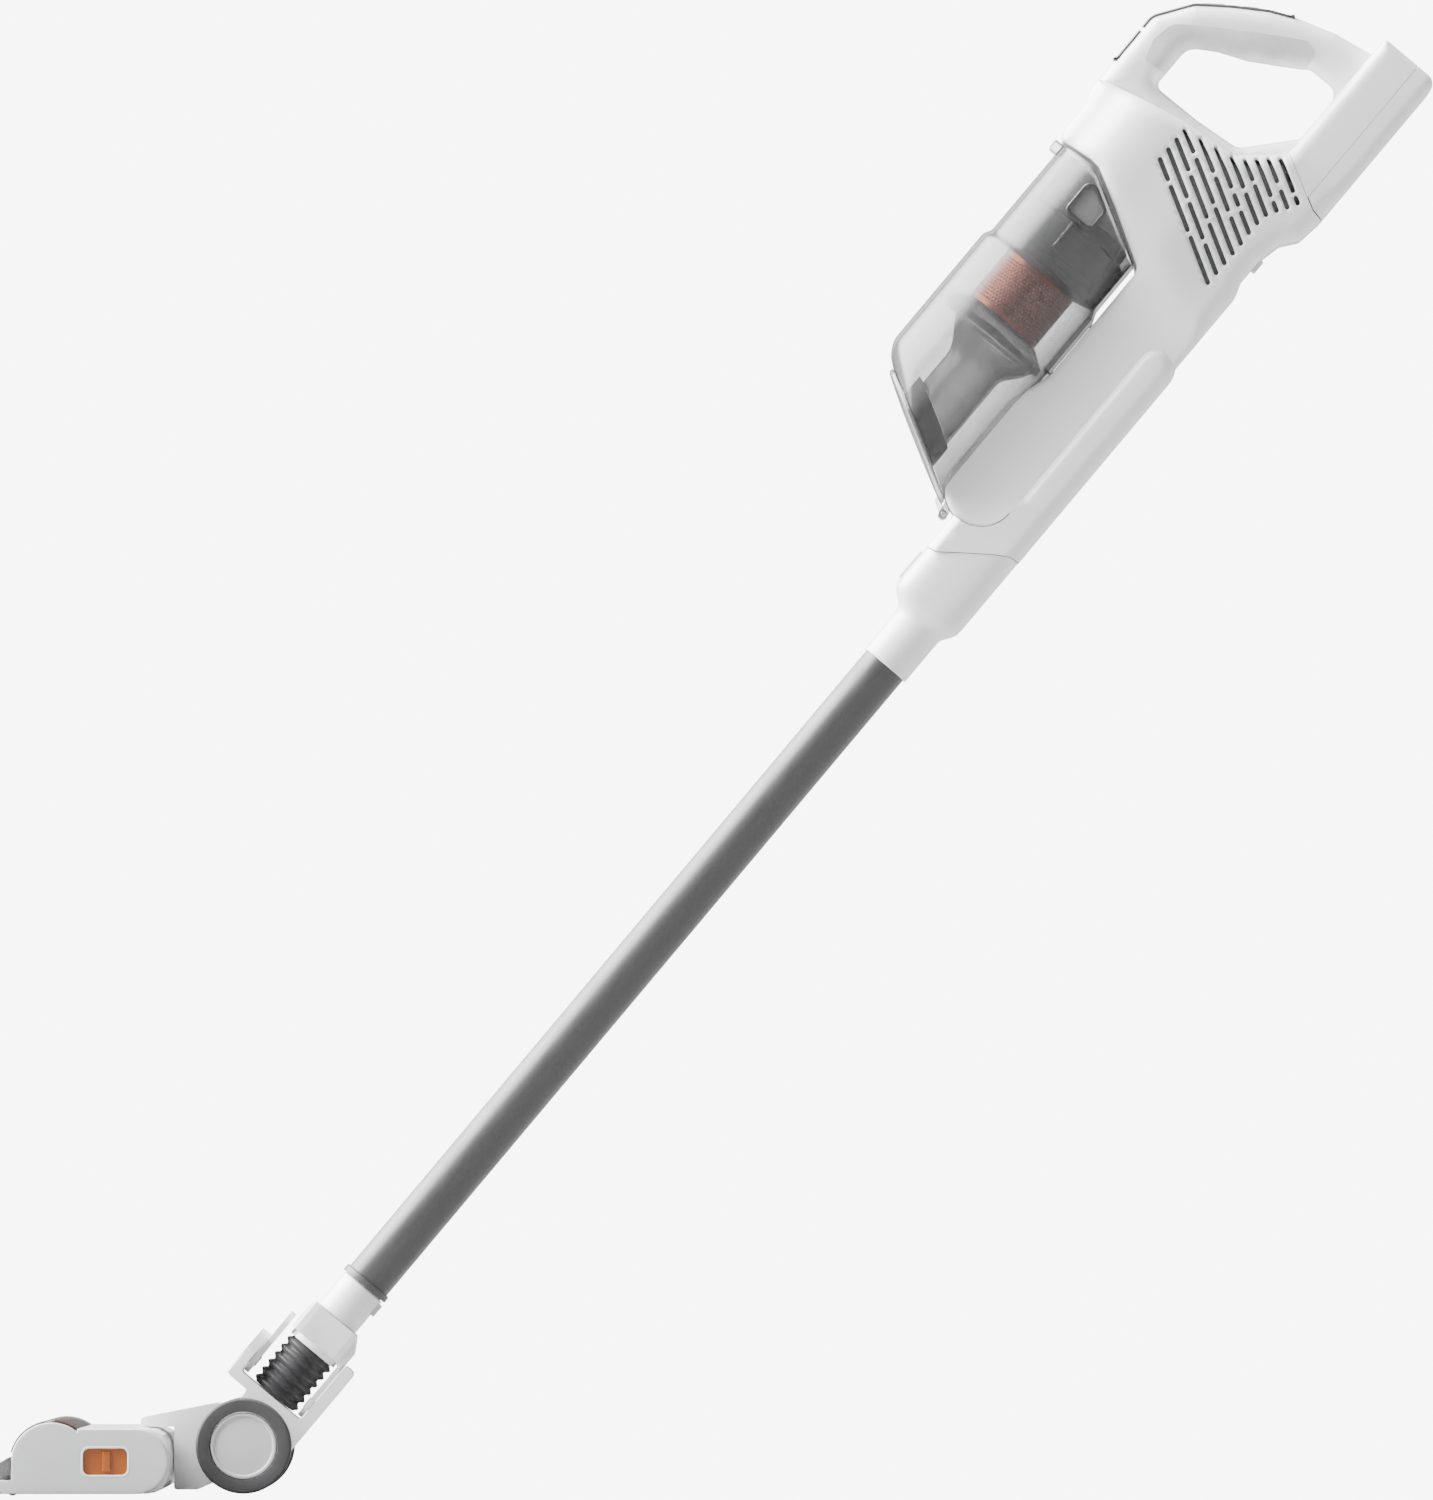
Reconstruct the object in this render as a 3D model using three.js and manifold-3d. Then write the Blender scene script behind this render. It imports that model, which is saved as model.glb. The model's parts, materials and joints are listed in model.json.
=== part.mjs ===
// Cordless stick vacuum: a hand unit with a clear dust bin, a pull-off wand and a powered floor head.
// Millimetres, +Z up. The head points to -X, and the wand leans back over the wheels towards +X.
import * as THREE from 'three';
import { mergeVertices } from 'three/addons/utils/BufferGeometryUtils.js';
import Module from 'manifold-3d';

const wasm = await Module();
wasm.setup();

// ---- driving dimensions -------------------------------------------------------------------
const LEAN = 40; // degrees between the wand and upright
const CLEAR = 0.3; // gap between pieces that touch
const RUN = 0.5; // gap between pieces that move past each other
const WALL = 2.4; // moulded casing wall

const TUBE_RADIUS = 15.5; // wand tube, outside
const TUBE_WALL = 1.2;
const TUBE_LENGTH = 558;
const STICK_X = -7.5; // wand axis, ahead of the wheel axle's own upright line
const SOCKET_DEPTH = 31; // tube inside its top connector
const SPIGOT_WALL = 1.6;

const WHEEL_RADIUS = 31;
const HUB_RADIUS = 21.7;
const WHEEL_WIDTH = 14;
const WHEEL_INNER_Y = 34;
const AXLE_RADIUS = 4;
const ROLLER_RADIUS = 3.5;
const ROLLER_X = -146;

const HEAD_WIDTH = 250;
const PANEL_THICK = 6;
const SOLE_LIFT = 1.2; // floor to sole
const SOLE_THICK = 2.2;
const HEAD_FRONT = -158.5;
const HEAD_REAR = -46;
const BRUSH_X = -121;
const BRUSH_RADIUS = 20.4;
const BRUSH_CORE_RADIUS = 14;
const WINDOW_RADIUS = 27.5;
const WINDOW_THICK = 2;
const BELT_THICK = 1.2;
const BRUSH_PULLEY_RADIUS = 9;
const MOTOR_PULLEY_RADIUS = 5;
const BRUSH_MOTOR_RADIUS = 11;
const BRUSH_MOTOR_X = -76;

const YOKE_HALF_WIDTH = 18.5;
const STEER_Z = 47; // steering pivot above the axle, along the wand
const PIVOT_RADIUS = 4;
const HOSE_RADIUS = 18;
const HOSE_WALL = 2.2;
const HOSE_RIBS = 7;
const HOSE_LOW = 36;
const HOSE_HIGH = 75;
const NECK_LOW = 101;
const NECK_TOP = 128;

const BIN_RADIUS = 46.5;
const BIN_WALL = 2.2;
const BIN_BACK_X = -46.5;
const CONE_TUBE_RADIUS = 19;
const MOTOR_RADIUS = 27;
const MOTOR_LENGTH = 40;
const IMPELLER_RADIUS = 24;
const NOZZLE_HALF_WIDTH = 27;
const SPINE_HALF_WIDTH = 22; // casing behind the bin, slimmer than the duct
const SPIGOT_RADIUS = 12.2; // wand connector's male end
const HANDLE_HALF_WIDTH = 15;
const ARM_HALF_WIDTH = 30;
const CELL_RADIUS = 9; // standard 18 mm cells
const CELL_LENGTH = 65;
const STRIP_THICK = 2.2;
const CORNER_STEPS = 4; // segments of a rounded corner

// ---- sizes worked out from those ----------------------------------------------------------
const FLOOR_Z = -WHEEL_RADIUS;
const SOLE_Z = FLOOR_Z + SOLE_LIFT;
const HEAD_TOP = FLOOR_Z + 43;
const BRUSH_Z = FLOOR_Z + 21;
const BRUSH_MOTOR_Z = BRUSH_Z + 3;
const HEAD_SIDE = HEAD_WIDTH / 2;
const INNER_SIDE = HEAD_SIDE - PANEL_THICK - CLEAR;
const BELT_Y = HEAD_SIDE - 21; // middle of the drive belt
const BRUSH_REACH = BELT_Y - 8; // half length of the brush
const TUBE_BORE = TUBE_RADIUS - TUBE_WALL;
const NECK_BORE = TUBE_BORE - CLEAR - SPIGOT_WALL;
const HAND_Z = NECK_TOP + CLEAR + TUBE_LENGTH + 14;
const BIN_X = BIN_BACK_X - BIN_RADIUS;
const FRONT = BIN_X - BIN_RADIUS; // foremost line of the bin
const BIN_UPPER_RADIUS = BIN_RADIUS - 3;
const SHROUD_RADIUS = BIN_RADIUS - 6.5;
const SCREEN_RADIUS = BIN_RADIUS - 19.3;
const CONE_TOP_RADIUS = BIN_RADIUS - 15;
const UPPER_FRONT = BIN_X - BIN_UPPER_RADIUS;
const STRIP_HALF_WIDTH = 9;
const DUCT_X = 4; // middle of the rear duct
const DUCT_RADIUS = 12.5;
const DUCT_TOP = 215.5;
const HOUSING_FOOT = [-32.4, 82, 23.6]; // centre and radius of the casing's round lower end
const MOTOR_X = -55;
const ARM_FRONT = -20; // front face of the rear arm
const HANDLE_STRETCH = (FRONT - ARM_FRONT) / -119.5; // 1 for the bin as drawn
/** A place between the arm and the front of the bin, moved with the bin's size. */
const along = (x) => ARM_FRONT + (x - ARM_FRONT) * HANDLE_STRETCH;

// ---- shape helpers ------------------------------------------------------------------------
/** A closed three.js geometry as a solid, with merged vertices and faces pointing out. */
function solid(geometry) {
  const bare = geometry.clone();
  bare.deleteAttribute('normal');
  bare.deleteAttribute('uv');
  const merged = mergeVertices(bare, 1e-4);
  const at = merged.attributes.position;
  const index = merged.index.array;
  const corners = [];
  const [a, b, c] = [new THREE.Vector3(), new THREE.Vector3(), new THREE.Vector3()];
  let volume = 0;
  for (let i = 0; i < index.length; i += 3) {
    const [p, q, r] = [index[i], index[i + 1], index[i + 2]];
    if (p === q || q === r || r === p) continue;
    corners.push(p, q, r);
    a.fromBufferAttribute(at, p);
    b.fromBufferAttribute(at, q);
    c.fromBufferAttribute(at, r);
    volume += a.dot(b.cross(c));
  }
  if (volume < 0) corners.reverse();
  return new wasm.Manifold(new wasm.Mesh({
    numProp: 3,
    vertProperties: new Float32Array(at.array),
    triVerts: new Uint32Array(corners),
  }));
}

const join = (...solids) => solids.reduce((all, next) => all.add(next));
const cut = (body, ...tools) => tools.reduce((rest, tool) => rest.subtract(tool), body);
const common = (...solids) => solids.reduce((all, next) => all.intersect(next));

/** Points of an arc about (x, z) between two angles in degrees. */
function arc(x, z, radius, from, to, steps = 10) {
  return Array.from({ length: steps + 1 }, (_, i) => {
    const angle = THREE.MathUtils.degToRad(from + ((to - from) * i) / steps);
    return [x + radius * Math.cos(angle), z + radius * Math.sin(angle)];
  });
}

/** A closed shape through corners [across, up, rounding]. */
function outline(corners) {
  const shape = new THREE.Shape();
  const count = corners.length;
  corners.forEach(([x, z, rounding = 0], i) => {
    const here = new THREE.Vector2(x, z);
    const back = new THREE.Vector2(...corners[(i + count - 1) % count].slice(0, 2)).sub(here).normalize();
    const on = new THREE.Vector2(...corners[(i + 1) % count].slice(0, 2)).sub(here).normalize();
    const halfAngle = Math.acos(THREE.MathUtils.clamp(back.dot(on), -1, 1)) / 2;
    const reach = rounding / Math.tan(halfAngle);
    const start = here.clone().addScaledVector(back, reach);
    const end = here.clone().addScaledVector(on, reach);
    if (i === 0) shape.moveTo(start.x, start.y);
    else shape.lineTo(start.x, start.y);
    if (rounding > 0) shape.quadraticCurveTo(x, z, end.x, end.y);
  });
  return shape;
}

/** The same corners drawn in by a distance all round, their roundings kept in step. */
function inset(corners, distance) {
  const points = corners.map(([x, z]) => new THREE.Vector2(x, z));
  const turn = Math.sign(THREE.ShapeUtils.area(points));
  return corners.map(([, , rounding = 0], i) => {
    const here = points[i];
    const back = here.clone().sub(points.at(i - 1)).normalize();
    const on = points[(i + 1) % points.length].clone().sub(here).normalize();
    const inward = new THREE.Vector2(-back.y - on.y, back.x + on.x).normalize();
    const stretch = Math.max(0.3, inward.dot(new THREE.Vector2(-on.y, on.x)));
    const moved = here.clone().addScaledVector(inward, (turn * distance) / stretch);
    const bulges = turn * back.cross(on) > 0;
    return [moved.x, moved.y, rounding && Math.max(0, rounding + (bulges ? -distance : distance))];
  });
}

/** A shape pushed along a direction: its own axes and where it starts are given. */
function extrude(form, depth, across, up, origin) {
  const shape = form instanceof THREE.Shape ? form : outline(form);
  const geometry = new THREE.ExtrudeGeometry(shape, {
    depth,
    bevelEnabled: false,
    curveSegments: CORNER_STEPS,
  });
  const push = new THREE.Vector3().crossVectors(across, up);
  const place = new THREE.Matrix4().makeBasis(across, up, push).setPosition(origin);
  return solid(geometry.applyMatrix4(place));
}

const X = new THREE.Vector3(1, 0, 0);
const Y = new THREE.Vector3(0, 1, 0);
const Z = new THREE.Vector3(0, 0, 1);

/** Side shape (x, z) between two y. */
const slab = (shape, low, high) => extrude(shape, high - low, X, Z, new THREE.Vector3(0, high, 0));
/** Plan shape (x, y) between two z. */
const prism = (shape, low, high) => extrude(shape, high - low, X, Y, new THREE.Vector3(0, 0, low));
/** Front shape (y, z) between two x. */
const bar = (shape, low, high) => extrude(shape, high - low, Y, Z, new THREE.Vector3(low, 0, 0));

function box(x0, x1, y0, y1, z0, z1) {
  const geometry = new THREE.BoxGeometry(x1 - x0, y1 - y0, z1 - z0);
  return solid(geometry.translate((x0 + x1) / 2, (y0 + y1) / 2, (z0 + z1) / 2));
}

/** A round rod along Y through (x, z). */
function crossRod(radius, x, z, low, high, sides = 24) {
  const geometry = new THREE.CylinderGeometry(radius, radius, high - low, sides);
  return solid(geometry.translate(x, (low + high) / 2, z));
}

/** A round rod along X through (y, z). */
function longRod(radius, low, high, y, z, sides = 20) {
  const geometry = new THREE.CylinderGeometry(radius, radius, high - low, sides);
  return solid(geometry.rotateZ(-Math.PI / 2).translate((low + high) / 2, y, z));
}

/** A profile [radius, z] turned round the upright line through (x, 0). */
function turned(profile, x = 0, sides = 24) {
  const points = profile.map(([r, z]) => new THREE.Vector2(r, z));
  const geometry = new THREE.LatheGeometry([...points, points[0].clone()], sides);
  return solid(geometry.rotateX(Math.PI / 2).translate(x, 0, 0));
}

const upright = (radius, low, high, x, sides) =>
  turned([[0, low], [radius, low], [radius, high], [0, high]], x, sides);

const ring = (outer, inner, low, high, x, sides) =>
  turned([[inner, low], [outer, low], [outer, high], [inner, high]], x, sides);

/** A rounded plan rectangle from x0 to x1, y to each side. */
const roundedPlan = (x0, x1, half, rounding) =>
  [[x0, -half, rounding], [x1, -half, rounding], [x1, half, rounding], [x0, half, rounding]];

const plastic = (color, roughness) => () =>
  new THREE.MeshStandardMaterial({ color, roughness, metalness: 0 });
const metal = (color, roughness) => () => new THREE.MeshStandardMaterial({ color, roughness, metalness: 1 });
const WHITE = plastic(0xf1f1f0, 0.25);
const PANEL_GREY = plastic(0xc8c8c8, 0.4);
const SOFT_GREY = plastic(0xd2d3d4, 0.6);
const DARK = plastic(0x4a4a4c, 0.45);
const BLACK = plastic(0x1f1f21, 0.7);
const GRAPHITE = metal(0x5e5e60, 0.4);
const STEEL = metal(0xb9bbbe, 0.3);
const COPPER = metal(0x8a4a34, 0.45);
const SMOKE = () => new THREE.MeshStandardMaterial({
  color: 0x9a9a9c,
  roughness: 0.05,
  metalness: 0,
  transparent: true,
  opacity: 0.35,
});
const ORANGE = plastic(0xb9560c, 0.35);
const FOAM = plastic(0x35363a, 0.95);
const BOARD = plastic(0x1d5a36, 0.5);

/** Adds one named sub-part to a group. */
function piece(parent, name, body, material) {
  const mesh = body.getMesh();
  const geometry = new THREE.BufferGeometry();
  geometry.setAttribute('position', new THREE.BufferAttribute(new Float32Array(mesh.vertProperties), 3));
  geometry.setIndex(new THREE.BufferAttribute(new Uint32Array(mesh.triVerts), 1));
  const part = new THREE.Mesh(geometry, material());
  part.name = name;
  parent.add(part);
  return part;
}

const vacuum = new THREE.Group();
const head = new THREE.Group(); // origin on the wheel axle
const stick = new THREE.Group(); // origin on the axle, z up the wand
const wand = new THREE.Group();
const hand = new THREE.Group();
stick.rotation.y = THREE.MathUtils.degToRad(LEAN);
hand.position.z = HAND_Z;
vacuum.add(head, stick);
stick.add(wand, hand);

// ---- floor head ---------------------------------------------------------------------------
const LENS_LOW = FLOOR_Z + 10.5;
const LENS_BACK = -147.2;
const LATCH = { x0: -100.5, x1: -72, z0: FLOOR_Z + 13.5, z1: FLOOR_Z + 30.5, travel: 6 };

/** Side outline of the end panels, with the arch over the brush. */
const panelOutline = () => [
  [HEAD_FRONT, LENS_LOW - CLEAR, 0.8],
  [HEAD_FRONT, SOLE_Z + 2.5, 2],
  [HEAD_FRONT + 8, SOLE_Z, 2],
  [HEAD_REAR, SOLE_Z, 17],
  [HEAD_REAR, HEAD_TOP, 17],
  [-104.5, HEAD_TOP, 1],
  ...arc(BRUSH_X, BRUSH_Z, WINDOW_RADIUS - WINDOW_THICK + 0.5, 50, 167, 12),
  [LENS_BACK + CLEAR, LENS_LOW - CLEAR],
];

function makeSidePanels() {
  const bearing = (low, high) => crossRod(5 + CLEAR, BRUSH_X, BRUSH_Z, low, high);
  const plate = slab(panelOutline(), -HEAD_SIDE, -HEAD_SIDE + PANEL_THICK);
  const { x0, x1, z0, z1, travel } = LATCH;
  const frame = [[x0, z0, 4], [x1, z0, 4], [x1, z1, 4], [x0, z1, 4]];
  const window = slab(frame, -HEAD_SIDE - 1, -HEAD_SIDE + 9);
  const track = box(x0 - travel - 2, x1 + travel + 2, -HEAD_SIDE + 2, -HEAD_SIDE + 9, z0 - 2, z1 + 2);
  const left = cut(plate, window, track, bearing(-HEAD_SIDE + 2, -HEAD_SIDE + 9));
  const right = slab(panelOutline(), HEAD_SIDE - PANEL_THICK, HEAD_SIDE);
  piece(head, 'side_panel_left', left, PANEL_GREY);
  piece(head, 'side_panel_right', cut(right, bearing(HEAD_SIDE - 9, HEAD_SIDE - 2)), PANEL_GREY);
}

/** Sliding catch behind the left panel's window, with a thumb ridge. */
function makeLatch() {
  const { x0, x1, z0, z1, travel } = LATCH;
  const face = -HEAD_SIDE + 2 + CLEAR;
  const plate = box(x0 - 1.6, x1 + travel + 1.6, face, face + 2, z0 - 1.6, z1 + 1.6);
  const ridge = box(-88, -83, -HEAD_SIDE + 0.3, face + 1, z0 + 2, z1 - 2);
  piece(head, 'brush_latch', join(plate, ridge), ORANGE);
}

/** White top shell: a box open below, whose front wall curves round the brush. */
function makeHeadCover() {
  const shape = (rise) => [
    [BRUSH_X + 4, SOLE_Z - rise],
    [HEAD_REAR, SOLE_Z - rise, rise ? 0 : 15],
    [HEAD_REAR, HEAD_TOP, 17],
    [BRUSH_X + 4, HEAD_TOP],
  ];
  const chamber = crossRod(WINDOW_RADIUS + CLEAR, BRUSH_X, BRUSH_Z, -HEAD_SIDE, HEAD_SIDE, 40);
  const outer = slab(shape(0), -INNER_SIDE, INNER_SIDE);
  const room = slab(inset(shape(0), WALL), -INNER_SIDE + WALL, INNER_SIDE - WALL);
  const soleTop = SOLE_Z + SOLE_THICK + CLEAR;
  const underneath = box(BRUSH_X - 3, HEAD_REAR - 16, -INNER_SIDE, INNER_SIDE, SOLE_Z - 1, soleTop);
  const inside = join(
    cut(room, crossRod(WINDOW_RADIUS + CLEAR + WALL, BRUSH_X, BRUSH_Z, -HEAD_SIDE, HEAD_SIDE, 40)),
    box(BRUSH_X + 30, HEAD_REAR - 16, -INNER_SIDE + WALL, INNER_SIDE - WALL, SOLE_Z - 1, SOLE_Z + 8),
  );
  const beltSlot = box(BRUSH_X, BRUSH_MOTOR_X, BELT_Y - 6, BELT_Y + 6, BRUSH_Z - 11, BRUSH_Z + 13);
  piece(head, 'head_cover', cut(outer, chamber, inside, underneath, beltSlot), WHITE);
}

/** Clear tinted roof over the brush. */
function makeBrushWindow() {
  const inner = WINDOW_RADIUS - WINDOW_THICK;
  const band = new THREE.Shape([
    ...arc(BRUSH_X, BRUSH_Z, WINDOW_RADIUS, 48, 165, 14),
    ...arc(BRUSH_X, BRUSH_Z, inner, 165, 48, 14),
  ].map(([x, z]) => new THREE.Vector2(x, z)));
  piece(head, 'brush_window', slab(band, -INNER_SIDE, INNER_SIDE), SMOKE);
}

/** Lamp lens across the front, with the white bumper bar under it. */
function makeFront() {
  const lens = [
    [HEAD_FRONT, LENS_LOW + 9, 1],
    [HEAD_FRONT, LENS_LOW, 1],
    [LENS_BACK, LENS_LOW],
    [LENS_BACK, LENS_LOW + 15, 1],
  ];
  const ends = roundedPlan(HEAD_FRONT, HEAD_FRONT + 60, HEAD_SIDE, 8);
  piece(head, 'front_lens', common(slab(lens, -HEAD_SIDE, HEAD_SIDE), prism(ends, -40, 20)), SMOKE);
  const bumperBack = ROLLER_X - ROLLER_RADIUS - RUN;
  const bumperLow = SOLE_Z + SOLE_THICK + CLEAR;
  const bumper = box(HEAD_FRONT, bumperBack, -INNER_SIDE, INNER_SIDE, bumperLow, LENS_LOW - CLEAR);
  piece(head, 'front_bumper', bumper, WHITE);
}

function makeSole() {
  const plate = box(HEAD_FRONT + 1, HEAD_REAR - 17, -INNER_SIDE, INNER_SIDE, SOLE_Z, SOLE_Z + SOLE_THICK);
  const mouth = box(BRUSH_X - 22, BRUSH_X + 21, -INNER_SIDE + 8, INNER_SIDE - 8, SOLE_Z - 1, SOLE_Z + 9);
  const pockets = [-1, 1].map((side) => {
    const y = side * (INNER_SIDE - 4);
    return box(ROLLER_X - 5, ROLLER_X + 5, y - 3.2, y + 3.2, SOLE_Z - 1, SOLE_Z + 9);
  });
  piece(head, 'sole_plate', cut(plate, mouth, ...pockets), DARK);
  for (const [name, side] of [['front_roller_left', -1], ['front_roller_right', 1]]) {
    const y = side * (INNER_SIDE - 4);
    piece(head, name, crossRod(ROLLER_RADIUS, ROLLER_X, FLOOR_Z + ROLLER_RADIUS, y - 2.7, y + 2.7, 20), DARK);
  }
}

/** Brush roll: a round core with four twisted bristle fins and a pulley at one end. */
function makeBrush() {
  const fins = 4;
  const section = new THREE.Shape();
  for (let i = 0; i < fins; i += 1) {
    const turn = (i * 360) / fins;
    const valley = arc(0, 0, BRUSH_CORE_RADIUS, turn + 10, turn + 80, 3);
    const tip = arc(0, 0, BRUSH_RADIUS, turn + 87, turn + 93, 1);
    for (const [x, z] of [...valley, ...tip]) {
      if (section.curves.length === 0 && section.currentPoint.lengthSq() === 0) section.moveTo(x, z);
      else section.lineTo(x, z);
    }
  }
  section.closePath();
  const reach = BRUSH_REACH;
  const geometry = new THREE.ExtrudeGeometry(section, { depth: 2 * reach, steps: 12, bevelEnabled: false });
  const at = geometry.attributes.position;
  const point = new THREE.Vector3();
  for (let i = 0; i < at.count; i += 1) {
    point.fromBufferAttribute(at, i);
    point.applyAxisAngle(Z, (point.z / (2 * reach)) * Math.PI);
    at.setXYZ(i, point.x, point.y, point.z);
  }
  geometry.translate(0, 0, -reach).rotateX(Math.PI / 2).translate(BRUSH_X, 0, BRUSH_Z);
  const end = INNER_SIDE + 3;
  const shaft = crossRod(5, BRUSH_X, BRUSH_Z, -end, end);
  const pulley = crossRod(BRUSH_PULLEY_RADIUS, BRUSH_X, BRUSH_Z, BELT_Y - 4, BELT_Y + 4, 28);
  piece(head, 'brush_roll', join(solid(geometry), shaft, pulley), BLACK);
}

/** Motor, its pulley and the belt that turns the brush. */
function makeBrushDrive() {
  const motor = crossRod(BRUSH_MOTOR_RADIUS, BRUSH_MOTOR_X, BRUSH_MOTOR_Z, BELT_Y - 70, BELT_Y - 8, 24);
  const nose = crossRod(1.6, BRUSH_MOTOR_X, BRUSH_MOTOR_Z, BELT_Y - 14, BELT_Y - 5, 12);
  piece(head, 'brush_motor', join(motor, nose), STEEL);
  const ends = [BELT_Y - 5 + CLEAR, BELT_Y + 4.5];
  const pulley = crossRod(MOTOR_PULLEY_RADIUS, BRUSH_MOTOR_X, BRUSH_MOTOR_Z, ...ends, 20);
  piece(head, 'motor_pulley', pulley, DARK);
  const rise = BRUSH_MOTOR_Z - BRUSH_Z;
  const span = Math.hypot(BRUSH_MOTOR_X - BRUSH_X, rise);
  const tilt = THREE.MathUtils.radToDeg(Math.atan2(rise, BRUSH_MOTOR_X - BRUSH_X));
  const lean = THREE.MathUtils.radToDeg(Math.asin((BRUSH_PULLEY_RADIUS - MOTOR_PULLEY_RADIUS) / span));
  const loop = (extra) => new THREE.Shape([
    ...arc(BRUSH_X, BRUSH_Z, BRUSH_PULLEY_RADIUS + extra, tilt + 90 - lean, tilt + 270 + lean, 12),
    ...arc(BRUSH_MOTOR_X, BRUSH_MOTOR_Z, MOTOR_PULLEY_RADIUS + extra, tilt - 90 + lean, tilt + 90 - lean, 8),
  ].map(([x, z]) => new THREE.Vector2(x, z)));
  const belt = cut(
    slab(loop(CLEAR + BELT_THICK), BELT_Y - 3, BELT_Y + 3),
    slab(loop(CLEAR), BELT_Y - 4, BELT_Y + 5),
  );
  piece(head, 'drive_belt', belt, BLACK);
}

/** Carriage behind the head: two arms that carry the axle, joined over the head's back. */
function makeCarriage() {
  const arms = [
    [-67, HEAD_TOP + CLEAR],
    [-67, HEAD_TOP + 6, 2],
    [-17, 28, 6],
    ...arc(0, 0, 14, 60, -60, 6),
    [-30, FLOOR_Z + 2.5, 6],
    [HEAD_REAR + CLEAR + 0.2, FLOOR_Z + 2.5, 2],
    [HEAD_REAR + CLEAR + 0.2, HEAD_TOP + CLEAR],
  ];
  const half = WHEEL_INNER_Y - 4;
  const slot = join(
    box(-25, 60, -YOKE_HALF_WIDTH - 1.2, YOKE_HALF_WIDTH + 1.2, -60, 60),
    crossRod(AXLE_RADIUS + CLEAR, 0, 0, -half - 1, half + 1),
  );
  piece(head, 'carriage', cut(slab(arms, -half, half), slot), WHITE);
  const end = WHEEL_INNER_Y + WHEEL_WIDTH - 1.5;
  piece(head, 'axle', crossRod(AXLE_RADIUS, 0, 0, -end, end, 20), STEEL);
}

function makeWheels() {
  for (const [name, side] of [['left', -1], ['right', 1]]) {
    const span = [side * WHEEL_INNER_Y, side * (WHEEL_INNER_Y + WHEEL_WIDTH)].sort((p, q) => p - q);
    const hub = crossRod(HUB_RADIUS, 0, 0, span[0] + 0.6, span[1] - 0.6, 30);
    const tread = crossRod(WHEEL_RADIUS, 0, 0, span[0], span[1], 36);
    const seat = crossRod(HUB_RADIUS + CLEAR, 0, 0, span[0] - 1, span[1] + 1, 30);
    const depth = [side * (WHEEL_INNER_Y - 1), side * (WHEEL_INNER_Y + WHEEL_WIDTH - 1.2)];
    const bore = crossRod(AXLE_RADIUS + CLEAR, 0, 0, ...depth.sort((p, q) => p - q), 20);
    piece(head, `wheel_hub_${name}`, cut(hub, bore), PANEL_GREY);
    piece(head, `tyre_${name}`, cut(tread, seat), DARK);
  }
}

// ---- neck ---------------------------------------------------------------------------------
const EAR = { front0: -32.7, front1: -29, back0: 13, back1: 16.5, radius: 10 };

/** Yoke: a round foot on the axle, and two arms that hold the steering pins. */
function makeYoke() {
  const half = YOKE_HALF_WIDTH;
  const foot = crossRod(22, 0, 0, -half, half, 32);
  const block = slab([
    [-22, 0],
    [23, -4, 6],
    [25, 12, 4],
    [25, 81.5, 4],
    [EAR.back1 + RUN, 81.5, 1],
    [EAR.back1 + RUN, 35.5, 3],
    [EAR.front0 - RUN, 35.5, 3],
    [EAR.front0 - RUN, 50],
    [-39, 50],
    [-39, 28.5, 3],
    [-22, 28.5, 2],
  ], -half, half);
  const cap = longRod(half, -40, EAR.front0 - RUN, 0, STEER_Z, 32);
  const air = upright(14, 7, 40, STICK_X + 1, 24);
  const pins = longRod(PIVOT_RADIUS + CLEAR, -38, 23, 0, STEER_Z);
  const axleHole = crossRod(AXLE_RADIUS + CLEAR, 0, 0, -half - 1, half + 1);
  piece(stick, 'yoke', cut(join(foot, block, cap), air, pins, axleHole), WHITE);
}

function makePivots() {
  piece(stick, 'pivot_pin_front', longRod(PIVOT_RADIUS, -37.5, EAR.front1 + 0.8, 0, STEER_Z), STEEL);
  piece(stick, 'pivot_pin_rear', longRod(PIVOT_RADIUS, EAR.back0 - 0.6, 22.5, 0, STEER_Z), STEEL);
}

/** Corrugated hose between the yoke's foot and the swivel housing. */
function makeHose() {
  const low = HOSE_LOW + CLEAR;
  const pitch = (HOSE_HIGH - CLEAR - low) / HOSE_RIBS;
  const wave = [];
  for (let i = 0; i < HOSE_RIBS; i += 1) {
    const z = low + i * pitch;
    wave.push([HOSE_RADIUS - 2, z], [HOSE_RADIUS, z + pitch * 0.3], [HOSE_RADIUS, z + pitch * 0.7]);
  }
  wave.push([HOSE_RADIUS - 2, HOSE_HIGH - CLEAR]);
  const bore = HOSE_RADIUS - 2 - HOSE_WALL;
  const ribbed = [...wave, [bore, HOSE_HIGH - CLEAR], [bore, low]];
  piece(stick, 'swivel_hose', turned(ribbed, STICK_X + 1, 18), BLACK);
}

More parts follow.
